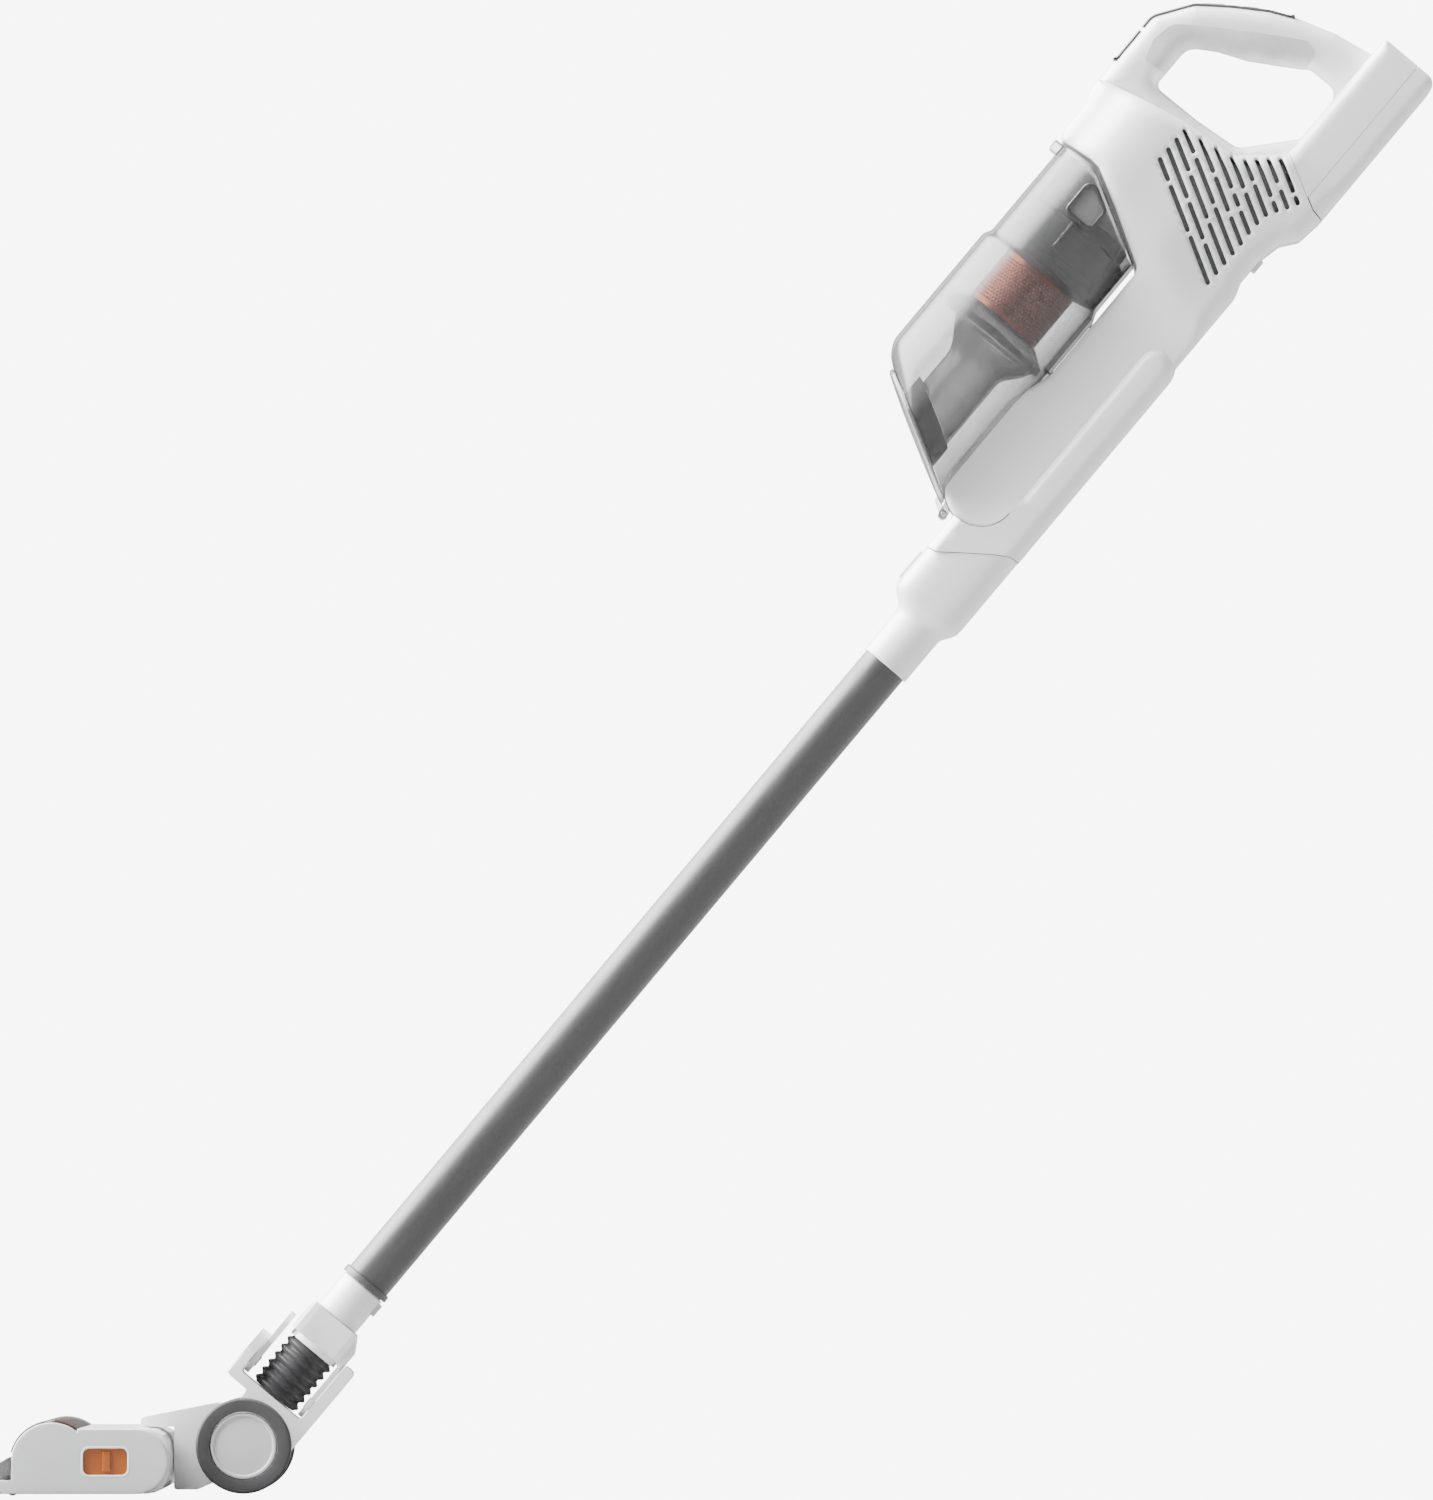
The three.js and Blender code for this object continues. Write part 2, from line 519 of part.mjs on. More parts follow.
/** Swivel housing: two ears on the pins, a collar over the hose, and a shoulder to the neck tube. */
function makeSwivel() {
  const half = YOKE_HALF_WIDTH;
  const crown = slab([
    [-29, 79],
    [-12, 79],
    [0, HOSE_HIGH + 5],
    [11, 79],
    [EAR.back1, 75],
    [EAR.back1, 91, 1],
    [STICK_X + TUBE_RADIUS + 2, NECK_LOW, 2],
    [STICK_X - TUBE_RADIUS - 2, NECK_LOW, 2],
    [-29, 89, 2],
  ], -half, half);
  const plan = roundedPlan(-29, EAR.back1, half, 9);
  const collar = ring(HOSE_RADIUS, HOSE_RADIUS - 4, HOSE_HIGH, 82, STICK_X + 1, 24);
  const ear = (low, high) => join(
    longRod(EAR.radius, low, high, 0, STEER_Z, 24),
    box(low, high, -EAR.radius, EAR.radius, STEER_Z, 84),
  );
  const ears = join(ear(EAR.front0, EAR.front1), ear(EAR.back0, EAR.back1));
  const bridge = box(EAR.front0, -27, -EAR.radius, EAR.radius, 79, 86);
  const bore = upright(NECK_BORE, 70, NECK_LOW + 5, STICK_X, 24);
  const pinHole = longRod(PIVOT_RADIUS + CLEAR, -36, 20, 0, STEER_Z);
  const body = join(common(crown, prism(plan, 70, 110)), collar, ears, bridge);
  piece(stick, 'swivel_housing', cut(body, bore, pinHole), WHITE);
}

/** Neck tube: stands on the swivel housing, and its spigot goes up inside the wand tube. */
function makeNeckTube() {
  const low = NECK_LOW + CLEAR;
  const outer = TUBE_RADIUS;
  const spigot = TUBE_BORE - CLEAR;
  const profile = [
    [NECK_BORE, low],
    [outer, low],
    [outer, NECK_TOP],
    [spigot, NECK_TOP],
    [spigot, NECK_TOP + 36],
    [NECK_BORE, NECK_TOP + 36],
  ];
  const window = box(STICK_X + 8, STICK_X + 20, -5 - CLEAR, 5 + CLEAR, 116.7, 126.3);
  piece(stick, 'neck_tube', cut(turned(profile, STICK_X), window), WHITE);
  const face = STICK_X + outer;
  piece(stick, 'neck_button', box(face - 2.6, face + 2.2, -5, 5, 117, 126), SOFT_GREY);
}

// ---- wand ---------------------------------------------------------------------------------
function makeWand() {
  const low = NECK_TOP + CLEAR;
  piece(wand, 'wand_tube', ring(TUBE_RADIUS, TUBE_BORE, low, low + TUBE_LENGTH, STICK_X), GRAPHITE);
  const collar = ring(TUBE_RADIUS + 1.8, TUBE_RADIUS + CLEAR, low, low + 5, STICK_X);
  piece(wand, 'tube_collar', collar, DARK);
}

/** Parting line between the wand's connector and the hand unit's nozzle, from front to back. */
const SEAM_LINE = [[-36, 31], [-29, 32], [-20, 39], [0, 54], [10, 60], [16.5, 61]];
const seam = (lift) => SEAM_LINE.map(([x, z]) => [x, z + lift]);

/** Top connector: a collar round the tube, a flared body and a spigot for the nozzle. */
function makeConnector() {
  const collarHalf = TUBE_RADIUS + 1.7;
  const collarLow = -14 - SOCKET_DEPTH;
  const collarPlan = roundedPlan(STICK_X - collarHalf, STICK_X + collarHalf, collarHalf, collarHalf * 0.8);
  const collar = prism(collarPlan, collarLow, 1);
  const side = slab([
    [STICK_X - collarHalf, -10],
    [STICK_X + collarHalf, -10],
    [16.5, 0, 2],
    ...seam(0).reverse(),
    [-36, 0, 2],
  ], -NOZZLE_HALF_WIDTH, NOZZLE_HALF_WIDTH);
  const front = bar([
    [-collarHalf, -10],
    [collarHalf, -10],
    [NOZZLE_HALF_WIDTH, 0],
    [NOZZLE_HALF_WIDTH, 70],
    [-NOZZLE_HALF_WIDTH, 70],
    [-NOZZLE_HALF_WIDTH, 0],
  ], -60, 40);
  const plan = prism(roundedPlan(-36, 16.5, NOZZLE_HALF_WIDTH, 15), -20, 80);
  const spigot = upright(SPIGOT_RADIUS, 20, 56.5, STICK_X, 24);
  const socket = upright(TUBE_RADIUS + CLEAR, collarLow - 1, -14 + CLEAR, STICK_X);
  const bore = upright(SPIGOT_RADIUS - SPIGOT_WALL, -20, 60, STICK_X, 24);
  const pocket = box(-45, -31.5, -8 - CLEAR, 8 + CLEAR, 5 - CLEAR, 27 + CLEAR);
  const body = join(collar, common(side, front, plan), spigot);
  piece(hand, 'wand_connector', cut(body, socket, bore, pocket), WHITE);
  const button = common(box(-37.6, -34, -8, 8, 5, 27), prism(roundedPlan(-37.6, -30, 8, 2), 0, 30));
  piece(hand, 'wand_button', button, SOFT_GREY);
}

// ---- hand unit: duct, casing and fan ---------------------------------------------------------
const PORT = { half: 10, low: 176, high: 207 }; // air way from the duct into the bin

/** Nozzle and rear duct, one moulding that leads the air up the back. */
function makeDuct() {
  const [footX, footZ, footRadius] = HOUSING_FOOT;
  const round = footRadius + 2 * CLEAR;
  const shape = [
    ...seam(0.4),
    [16.5, DUCT_TOP],
    ...arc(DUCT_X, DUCT_TOP, DUCT_RADIUS, 15, 180, 10),
    [footX + round, footZ],
    ...arc(footX, footZ, round, -12, -98, 8),
    [-36, 57.4],
  ];
  const plan = prism(roundedPlan(-36, 16.5, NOZZLE_HALF_WIDTH, 15), 0, 260);
  const socket = upright(SPIGOT_RADIUS + CLEAR, 20, 57, STICK_X, 24);
  const way = box(-6, 13.5, -18, 18, 46, DUCT_TOP - 3);
  const port = box(-12, 0, -PORT.half, PORT.half, PORT.low, PORT.high);
  const body = common(slab(shape, -NOZZLE_HALF_WIDTH, NOZZLE_HALF_WIDTH), plan);
  piece(hand, 'rear_duct', cut(body, socket, way, port), WHITE);
  const pipe = (grow) => {
    const half = PORT.half + grow;
    return box(BIN_BACK_X + 0.6, -9.3, -half, half, PORT.low - grow, PORT.high + grow);
  };
  piece(hand, 'port_pipe', cut(pipe(1.8), box(-60, 0, -PORT.half, PORT.half, PORT.low, PORT.high)), DARK);
}

/** Side outline of the main casing. */
const housingOutline = () => [
  [-56, 86],
  ...arc(...HOUSING_FOOT, 180, 360, 12),
  [13.5, 82],
  [13.5, 285, 6],
  [10, 295],
  [10, 312, 6],
  [14, 330, 6],
  [22, 340, 6],
  [24.5, 358],
  [16, 359],
  [8, 363],
  [-20, 378],
  [along(-45), 355, 10],
  [along(-80), 351],
  [FRONT + 4.5, 340],
  [FRONT - 7, 337, 2],
  [FRONT - 6.5, 328, 6],
  [FRONT - 2.5, 318, 3],
  [FRONT - 2.5, 296, 3],
  [FRONT + 1.5, 290.5],
  [FRONT + 24.5, 292],
  [FRONT + 31.5, 291, 6],
  [BIN_BACK_X + CLEAR, 257, 8],
  [BIN_BACK_X + CLEAR, 168, 8],
  [-56, 138, 8],
];

/** Plan outline of the casing: round over the bin, narrower at the back. */
const housingPlan = () => [
  [FRONT - 7, -HANDLE_HALF_WIDTH, 4],
  [FRONT, -HANDLE_HALF_WIDTH - 9, 4],
  ...arc(BIN_X, 0, BIN_RADIUS, -145, -75, 7),
  [-46, -43],
  [-10, -34],
  [25, -ARM_HALF_WIDTH, 8],
  [25, ARM_HALF_WIDTH, 8],
  [-10, 34],
  [-46, 43],
  ...arc(BIN_X, 0, BIN_RADIUS, 75, 145, 7),
  [FRONT, HANDLE_HALF_WIDTH + 9, 4],
  [FRONT - 7, HANDLE_HALF_WIDTH, 4],
];

/** Front outline of the casing: slim beside the duct, full width beside the motor. */
const housingFront = () => [
  [-SPINE_HALF_WIDTH, 56, 8],
  [SPINE_HALF_WIDTH, 56, 8],
  [SPINE_HALF_WIDTH, 232, 14],
  [BIN_RADIUS, 276, 14],
  [BIN_RADIUS, 345, 8],
  [ARM_HALF_WIDTH, 385],
  [-ARM_HALF_WIDTH, 385],
  [-BIN_RADIUS, 345, 8],
  [-BIN_RADIUS, 276, 14],
  [-SPINE_HALF_WIDTH, 232, 14],
];

const VENT = { pitch: 8.35, slope: -0.543, width: 2.8, x: -81, z: 320 };
/** Slots of each vent row, as [from, to] along x, bottom row first. */
const VENT_ROWS = [
  [[-81, -69], [-64, -38], [-33, -6]],
  [[-81, -52.5], [-47.5, -27.5], [-22.5, -6]],
  [[-81, -63], [-58, -34], [-29, -6]],
  [[-81, -68], [-62.5, -37], [-32.5, -6]],
  [[-69.5, -50], [-45, -26.5], [-21, -6]],
  [[-58, -34.5], [-29, -23.5], [-18.5, -6.5]],
  [[-46.5, -28.5], [-23.5, -6.5]],
  [[-38.5, -27], [-22.5, -5.5]],
  [[-33, -11.5], [-6.5, -2]],
  [[-27.5, -14], [-7.5, 2]],
  [[-21.5, -2], [2.5, 5.5]],
];

/** Cutters for the exhaust slots, right through both sides of the casing. */
function ventCutters() {
  const cutters = [];
  VENT_ROWS.forEach((row, k) => {
    const height = (x) => VENT.z + VENT.pitch * k + VENT.slope * (x - VENT.x);
    for (const [from, to] of row) {
      cutters.push(slab([
        [from, height(from) - VENT.width / 2],
        [to, height(to) - VENT.width / 2],
        [to, height(to) + VENT.width / 2],
        [from, height(from) + VENT.width / 2],
      ], -60, 60));
    }
  });
  return cutters;
}

const BOSS = [-14, 262];
const SCREW_RADIUS = 1.6;

function makeHousing() {
  const wide = BIN_RADIUS + 1;
  const outer = common(
    slab(housingOutline(), -wide, wide),
    prism(housingPlan(), 0, 420),
    bar(housingFront(), -200, 100),
  );
  const hollow = common(
    slab(inset(housingOutline(), WALL), -wide, wide),
    prism(inset(housingPlan(), WALL), 0, 420),
    bar(inset(housingFront(), WALL), -200, 100),
  );
  const ductRecess = slab([
    [DUCT_X - DUCT_RADIUS - CLEAR, 0],
    [60, 0],
    [60, DUCT_TOP - 4],
    ...arc(DUCT_X, DUCT_TOP, DUCT_RADIUS + CLEAR, 0, 180, 10),
  ], -80, 80);
  const binSpace = upright(BIN_RADIUS + CLEAR, 0, 257, BIN_X, 36);
  const underDoor = slab([[-160, 125.5], [-30, 54.8], [-30, 0], [-160, 0]], -80, 80);
  const hingePocket = box(-52, -36, -13, 13, 40, 82);
  const portHole = box(-60, -40, -PORT.half - 2.1, PORT.half + 2.1, PORT.low - 2.1, PORT.high + 2.1);
  const releaseHole = box(4, 20, -8 - CLEAR, 8 + CLEAR, 304.7, 315.3);
  const intake = upright(18, 240, 300, MOTOR_X - 12, 24);
  const boss = common(crossRod(4.5, ...BOSS, -40, 40, 12), outer);
  const shell = cut(
    join(cut(outer, hollow), boss),
    ductRecess, binSpace, underDoor, hingePocket, portHole, releaseHole, intake, ...ventCutters(),
  );
  const pilot = crossRod(SCREW_RADIUS + CLEAR, ...BOSS, -14, 60, 12);
  const counterbore = crossRod(3.6, ...BOSS, 20, 60, 12);
  const bored = cut(shell, pilot, counterbore);
  piece(hand, 'housing_left', cut(bored, box(-200, 100, -CLEAR / 2, 80, -50, 500)), WHITE);
  piece(hand, 'housing_right', cut(bored, box(-200, 100, -80, CLEAR / 2, -50, 500)), WHITE);
  const screw = join(crossRod(SCREW_RADIUS, ...BOSS, -13, 21, 12), crossRod(3.2, ...BOSS, 20.4, 22.6, 12));
  piece(hand, 'housing_screw', screw, STEEL);
}

function makeFan() {
  const low = 283;
  const vanes = 9;
  const rim = [[IMPELLER_RADIUS, low], [IMPELLER_RADIUS, low + 1.2]];
  const disc = turned([[3.4, low], ...rim, [8, low + 4], [7, low + 9], [3.4, low + 9]], MOTOR_X, 27);
  const blades = Array.from({ length: vanes }, (_, i) => {
    const geometry = new THREE.BoxGeometry(IMPELLER_RADIUS - 7, 1.2, 6);
    geometry.translate((IMPELLER_RADIUS + 5.5) / 2, 3, 0).rotateZ((i * 2 * Math.PI) / vanes);
    return solid(geometry.translate(MOTOR_X, 0, low + 3.8));
  });
  piece(hand, 'impeller', join(disc, ...blades), STEEL);
  const can = upright(MOTOR_RADIUS, low + 12, low + 12 + MOTOR_LENGTH, MOTOR_X, 32);
  const shaft = upright(3, low - 0.5, low + 13, MOTOR_X, 16);
  piece(hand, 'fan_motor', join(can, shaft), STEEL);
  piece(hand, 'exhaust_filter', box(-21, 2, -20, 20, 284, 334), FOAM);
  piece(hand, 'control_board', box(FRONT + 10, MOTOR_X - MOTOR_RADIUS - 7, -20, 20, 322, 323.6), BOARD);
}

// ---- hand unit: handle and battery ----------------------------------------------------------
const ARM_BACK = 8;
const PACK_BACK = 24.5;
const ARM_TOP = 476;
const CELLS = { x: 2.2, low: 396 };

/** Outer outline of the handle and the rear arm. */
const handleOuter = () => [
  [FRONT - 7, 337.4],
  [FRONT + 4.5, 340.4],
  [along(-80), 351.4],
  [along(-45), 355.4, 10],
  [ARM_FRONT, 378.4],
  [ARM_BACK, 363.4],
  [ARM_BACK, ARM_TOP, 3],
  [ARM_FRONT, ARM_TOP, 3],
  [ARM_FRONT, 460, 1],
  [along(-48), 459, 4],
  [along(-74), 450.5, 10],
  [along(-90), 443, 10],
  [along(-110), 430, 10],
  [along(-130), 415, 10],
  [FRONT - 7, 391, 12],
];

/** The finger opening. */
const gripOpening = () => [
  [FRONT + 24.5, 357.5, 5],
  [FRONT + 24.5, 391, 12],
  [along(-98), 401.5, 8],
  [along(-80), 409, 10],
  [along(-60), 421, 10],
  [along(-44), 431, 8],
  [along(-20.5), 431, 8],
  [along(-20.5), 392, 8],
  [along(-48), 361, 10],
  [along(-80), 358],
];

/** Soft grip: the inner side of the handle. */
const gripRegion = () => [
  [FRONT + 24.5, 364, 1],
  [FRONT + 8, 365.5, 3],
  [FRONT + 4, 380, 8],
  [FRONT + 7, 395, 8],
  [along(-110), 411, 10],
  [along(-80), 430, 10],
  [along(-58), 443, 6],
  [along(-48), 441, 5],
  [along(-46.5), 424, 1],
  [along(-80), 400],
  [along(-100), 380],
];

/** A key on the strip: where it sits, the way it faces and its length. */
const KEYS = [
  { name: 'power_button', x: along(-120), z: 422.5, tilt: 36.9, length: 15 },
  { name: 'mode_button', x: along(-100), z: 436.5, tilt: 33, length: 11 },
];
const KEY_HALF_WIDTH = 5;
const KEY_RISE = 1.2;

/** A box on the handle's top line, grown by a gap all round. */
function keyBox(key, rise, sink, gap) {
  const geometry = new THREE.BoxGeometry(key.length + 2 * gap, 2 * (KEY_HALF_WIDTH + gap), rise + sink);
  geometry.translate(0, 0, (rise - sink) / 2);
  geometry.rotateY(-THREE.MathUtils.degToRad(key.tilt));
  return solid(geometry.translate(key.x, 0, key.z));
}

function makeHandle() {
  const loop = slab(handleOuter(), -HANDLE_HALF_WIDTH, HANDLE_HALF_WIDTH);
  const armShape = [
    [ARM_FRONT, 379],
    [ARM_BACK, 364],
    [ARM_BACK, ARM_TOP, 3],
    [ARM_FRONT, ARM_TOP, 3],
  ];
  const arm = common(
    slab(armShape, -ARM_HALF_WIDTH, ARM_HALF_WIDTH),
    prism(roundedPlan(ARM_FRONT, ARM_BACK + 30, ARM_HALF_WIDTH, 8), 300, 500),
  );
  const opening = slab(gripOpening(), -60, 60);
  const gripSpace = slab(inset(gripRegion(), -CLEAR), -60, 60);
  const half = 3 * CELL_RADIUS + CLEAR;
  const cavityTop = CELLS.low + CELL_LENGTH + 2;
  const cavityFront = CELLS.x - 2 * CELL_RADIUS - RUN;
  const cavity = box(cavityFront, ARM_BACK + 5, -half - 0.6, half + 0.6, CELLS.low - 2, cavityTop);
  const strip = (grow) => {
    const band = cut(slab(handleOuter(), -99, 99), slab(inset(handleOuter(), STRIP_THICK + grow), -100, 100));
    const reach = slab([
      [FRONT - 20, 352 - grow],
      [FRONT + 6, 352 - grow],
      [along(-74) + grow, 430],
      [along(-74) + grow, 470],
      [FRONT - 20, 470],
    ], -STRIP_HALF_WIDTH - grow, STRIP_HALF_WIDTH + grow);
    return common(band, reach);
  };
  const pockets = KEYS.map((key) => keyBox(key, 6, 4.5, CLEAR));
  const frame = cut(join(loop, arm), opening, gripSpace, cavity, strip(CLEAR), ...pockets);
  piece(hand, 'handle_frame', frame, WHITE);
  const grip = cut(slab(gripRegion(), -HANDLE_HALF_WIDTH - 0.6, HANDLE_HALF_WIDTH + 0.6), opening);
  piece(hand, 'soft_grip', grip, SOFT_GREY);
  piece(hand, 'control_strip', cut(strip(0), ...pockets), DARK);
  for (const key of KEYS) {
    piece(hand, key.name, keyBox(key, KEY_RISE, 2.4, 0), SOFT_GREY);
  }
}

function makeBattery() {
  const half = 3 * CELL_RADIUS + CLEAR;
  const cover = common(
    slab([
      [ARM_BACK + CLEAR, 363.9],
      [16, 359.9],
      [PACK_BACK, 358.9],
      [PACK_BACK, ARM_TOP, 8],
      [ARM_BACK + CLEAR, ARM_TOP, 1],
    ], -ARM_HALF_WIDTH, ARM_HALF_WIDTH),
    prism(roundedPlan(-40, PACK_BACK, ARM_HALF_WIDTH, 9), 300, 500),
  );
  const ends = [CELLS.low - CLEAR, CELLS.low + CELL_LENGTH + CLEAR];
  const pocket = box(0, CELLS.x + 2 * CELL_RADIUS + RUN, -half, half, ...ends);
  piece(hand, 'battery_cover', cut(cover, pocket), WHITE);
  const cells = [];
  for (const layer of [-1, 1]) {
    for (const row of [-1, 0, 1]) {
      const cell = turned([[0, 0], [CELL_RADIUS, 0], [CELL_RADIUS, CELL_LENGTH], [0, CELL_LENGTH]], 0, 12);
      const place = [CELLS.x + layer * (CELL_RADIUS - 0.2), row * (2 * CELL_RADIUS - 0.3), CELLS.low];
      cells.push(cell.translate(place));
    }
  }
  piece(hand, 'battery_cells', join(...cells), FOAM);
  piece(hand, 'battery_release', box(7, 13, -8, 8, 305, 315), SOFT_GREY);
}

// ---- dust bin -----------------------------------------------------------------------------
const DOOR = { x: -41.5, z: 54.5, knuckle: 3, pin: 1.6, thick: 3 };
const floorLine = (x) => 57 + (-36 - x) * 0.5435;
const PAD_TOP_LIFT = 16.6; // tube's slanted end above the door, measured upright

function makeBinShell() {
  const profile = (inside) => turned([
    [0, 20],
    [BIN_RADIUS - inside, 20],
    [BIN_RADIUS - inside, 212],
    [BIN_UPPER_RADIUS - inside, 218],
    [BIN_UPPER_RADIUS - inside, 300],
    [0, 300],
  ], BIN_X, 36);
  const side = slab([
    [FRONT, 289],
    [FRONT, floorLine(FRONT) + 3, 12],
    [-30, floorLine(-30)],
    [-30, 247],
    [BIN_BACK_X, 255.6, 8],
    [FRONT + 31.5, 289],
  ], -80, 80);
  const room = slab([
    [FRONT + BIN_WALL, 310],
    [FRONT + BIN_WALL, floorLine(FRONT) + 6, 11],
    [FRONT + 14, floorLine(FRONT + 14) + 2],
    [FRONT + 14, 0],
    [0, 0],
    [0, 310],
  ], -80, 80);
  const hook = box(FRONT - 3, UPPER_FRONT + 2, -12, 12, 282, 289);
  const ears = [-1, 1].map((end) => {
    const y = [end * 8, end * 11].sort((p, q) => p - q);
    const plate = slab([
      [-49, 74],
      [-44.5, 74, 1],
      [DOOR.x + 2.6, DOOR.z + 3, 1],
      [DOOR.x + 2.6, DOOR.z - 3, 2],
      [DOOR.x - 2.6, DOOR.z - 3, 2],
      [DOOR.x - 4, 60],
      [-47.2, 64.5],
    ], ...y);
    return cut(plate, crossRod(DOOR.pin + 0.1, DOOR.x, DOOR.z, -20, 20, 12));
  });
  const portHole = box(-60, -40, -14 - CLEAR, 14 + CLEAR, 169, 214);
  const buttonHoles = box(FRONT + 31, FRONT + 52, -60, 60, 259.5, 300);
  const shell = cut(common(profile(0), side), common(profile(BIN_WALL), room), portHole, buttonHoles);
  piece(hand, 'bin_shell', join(shell, hook, ...ears), SMOKE);
  const mouth = box(-60, -40, -PORT.half, PORT.half, PORT.low, PORT.high);
  const frame = cut(box(-52.4, -46.8, -14, 14, 169.4, 213.6), mouth);
  piece(hand, 'bin_port_frame', frame, WHITE);
}

function makeBinButtons() {
  for (const [name, side] of [['bin_button_left', -1], ['bin_button_right', 1]]) {
    const y = [side * 36, side * 45].sort((p, q) => p - q);
    const shape = [
      [FRONT + 31.5, 260, 1],
      [FRONT + 51.5, 260, 1],
      [FRONT + 51.5, 276.5, 1],
      [FRONT + 31.5, 287.5, 1],
    ];
    piece(hand, name, slab(shape, ...y), SMOKE);
  }
}

function makeShroud() {
  piece(hand, 'shroud_holder', turned([
    [SCREEN_RADIUS - 4, 214.5],
    [BIN_UPPER_RADIUS - BIN_WALL - 0.6, 219],
    [BIN_UPPER_RADIUS - BIN_WALL - 0.6, 250],
    [31, 255],
    [31, 262],
    [26, 262],
    [26, 250],
    [SHROUD_RADIUS - 3, 247],
    [SHROUD_RADIUS - 3, 222],
    [SCREEN_RADIUS - 4, 218],
  ], BIN_X), SOFT_GREY);
  piece(hand, 'mesh_screen', ring(SCREEN_RADIUS, SCREEN_RADIUS - 1, 175.6, 214.2, BIN_X), COPPER);
  piece(hand, 'filter_cartridge', upright(SCREEN_RADIUS - 5, 176, 213, BIN_X, 24), FOAM);
  piece(hand, 'shroud_flange', turned([
    [0, 170],
    [SHROUD_RADIUS - 4, 166],
    [SHROUD_RADIUS - 2, 162],
    [SHROUD_RADIUS, 162],
    [SHROUD_RADIUS, 167],
    [SCREEN_RADIUS + 2, 175.2],
    [0, 175.2],
  ], BIN_X), PANEL_GREY);
  const wall = 1.6;
  const cone = turned([
    [CONE_TUBE_RADIUS - wall, 60],
    [CONE_TUBE_RADIUS, 60],
    [CONE_TUBE_RADIUS, 142],
    [CONE_TOP_RADIUS, 165],
    [CONE_TOP_RADIUS - wall, 165],
    [CONE_TUBE_RADIUS - wall, 142.5],
  ], BIN_X + 5);
  const top = upright(60, 161.6, 200, BIN_X);
  const foot = PAD_TOP_LIFT + CLEAR;
  const below = slab([
    [-160, floorLine(-160) + foot],
    [-30, floorLine(-30) + foot],
    [-30, 0],
    [-160, 0],
  ], -80, 80);
  piece(hand, 'shroud_cone', cut(cone, top, below), SOFT_GREY);
}

function makeBinDoor() {
  const drop = DOOR.thick * 1.138;
  const band = (low, high) => slab([
    [FRONT + 10, floorLine(FRONT + 10) + low],
    [-30, floorLine(-30) + low],
    [-30, floorLine(-30) + high],
    [FRONT + 10, floorLine(FRONT + 10) + high],
  ], -80, 80);
  const disc = upright(BIN_RADIUS, 0, 200, BIN_X, 36);
  const tab = box(-60, DOOR.x + 1, -7.5, 7.5, 0, 200);
  const knuckle = crossRod(DOOR.knuckle, DOOR.x, DOOR.z, -7.5, 7.5, 16);
  const plate = common(band(-0.4 - drop, -0.4), join(disc, tab));
  const pinHole = crossRod(DOOR.pin + CLEAR, DOOR.x, DOOR.z, -20, 20, 12);
  const earSpace = [[-60, -7.6], [7.6, 60]].map(([near, far]) => box(-48.4, -30, near, far, 0, 200));
  piece(hand, 'bin_door', cut(join(plate, knuckle), pinHole, ...earSpace), SMOKE);
  const pad = common(band(CLEAR, PAD_TOP_LIFT), upright(CONE_TUBE_RADIUS + 3.5, 0, 200, BIN_X + 4));
  piece(hand, 'door_seal', pad, BLACK);
  piece(hand, 'door_pin', crossRod(DOOR.pin, DOOR.x, DOOR.z, -11.5, 11.5, 12), STEEL);
}

makeSidePanels();
makeLatch();
makeHeadCover();
makeBrushWindow();
makeFront();
makeSole();
makeBrush();
makeBrushDrive();
makeCarriage();
makeWheels();
makeYoke();
makePivots();
makeHose();
makeSwivel();
makeNeckTube();
makeWand();
makeConnector();
makeDuct();
makeHousing();
makeFan();
makeHandle();
makeBattery();
makeBinShell();
makeBinButtons();
makeShroud();
makeBinDoor();

// The origin is the middle of the object's footprint, on the floor.
vacuum.updateMatrixWorld(true);
const bounds = new THREE.Box3().setFromObject(vacuum, true);
const middle = bounds.getCenter(new THREE.Vector3());
vacuum.position.set(-middle.x, -middle.y, -bounds.min.z);

export default vacuum;
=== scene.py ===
"""Visual model of a cordless stick vacuum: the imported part's own frame, with finished surfaces put round
it.

Lengths in the shape functions are millimetres in three working places: the floor head, the stick and the
hand unit. Each place turns them into the row frame, in metres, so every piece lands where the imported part
has it."""

import json
import math

import bmesh
import bpy
import numpy as np
from bpy.props import FloatProperty, FloatVectorProperty, PointerProperty
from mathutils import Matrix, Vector
from mathutils.geometry import delaunay_2d_cdt


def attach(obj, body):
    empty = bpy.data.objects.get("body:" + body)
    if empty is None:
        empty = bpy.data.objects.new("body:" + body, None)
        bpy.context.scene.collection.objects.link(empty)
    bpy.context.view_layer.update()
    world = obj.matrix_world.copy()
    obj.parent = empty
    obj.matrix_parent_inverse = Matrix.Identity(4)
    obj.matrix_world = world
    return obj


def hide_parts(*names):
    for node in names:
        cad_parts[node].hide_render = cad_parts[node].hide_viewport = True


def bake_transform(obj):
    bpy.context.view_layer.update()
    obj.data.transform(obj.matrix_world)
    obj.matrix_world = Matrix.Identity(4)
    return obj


bl_info = {
    "name": "Stick vacuum",
    "version": (1, 0, 0),
    "blender": (4, 5, 0),
    "location": "View3D > Sidebar > Vacuum",
    "description": "Builds the finished surfaces of a cordless stick vacuum round its packed frame",
    "category": "Object",
}

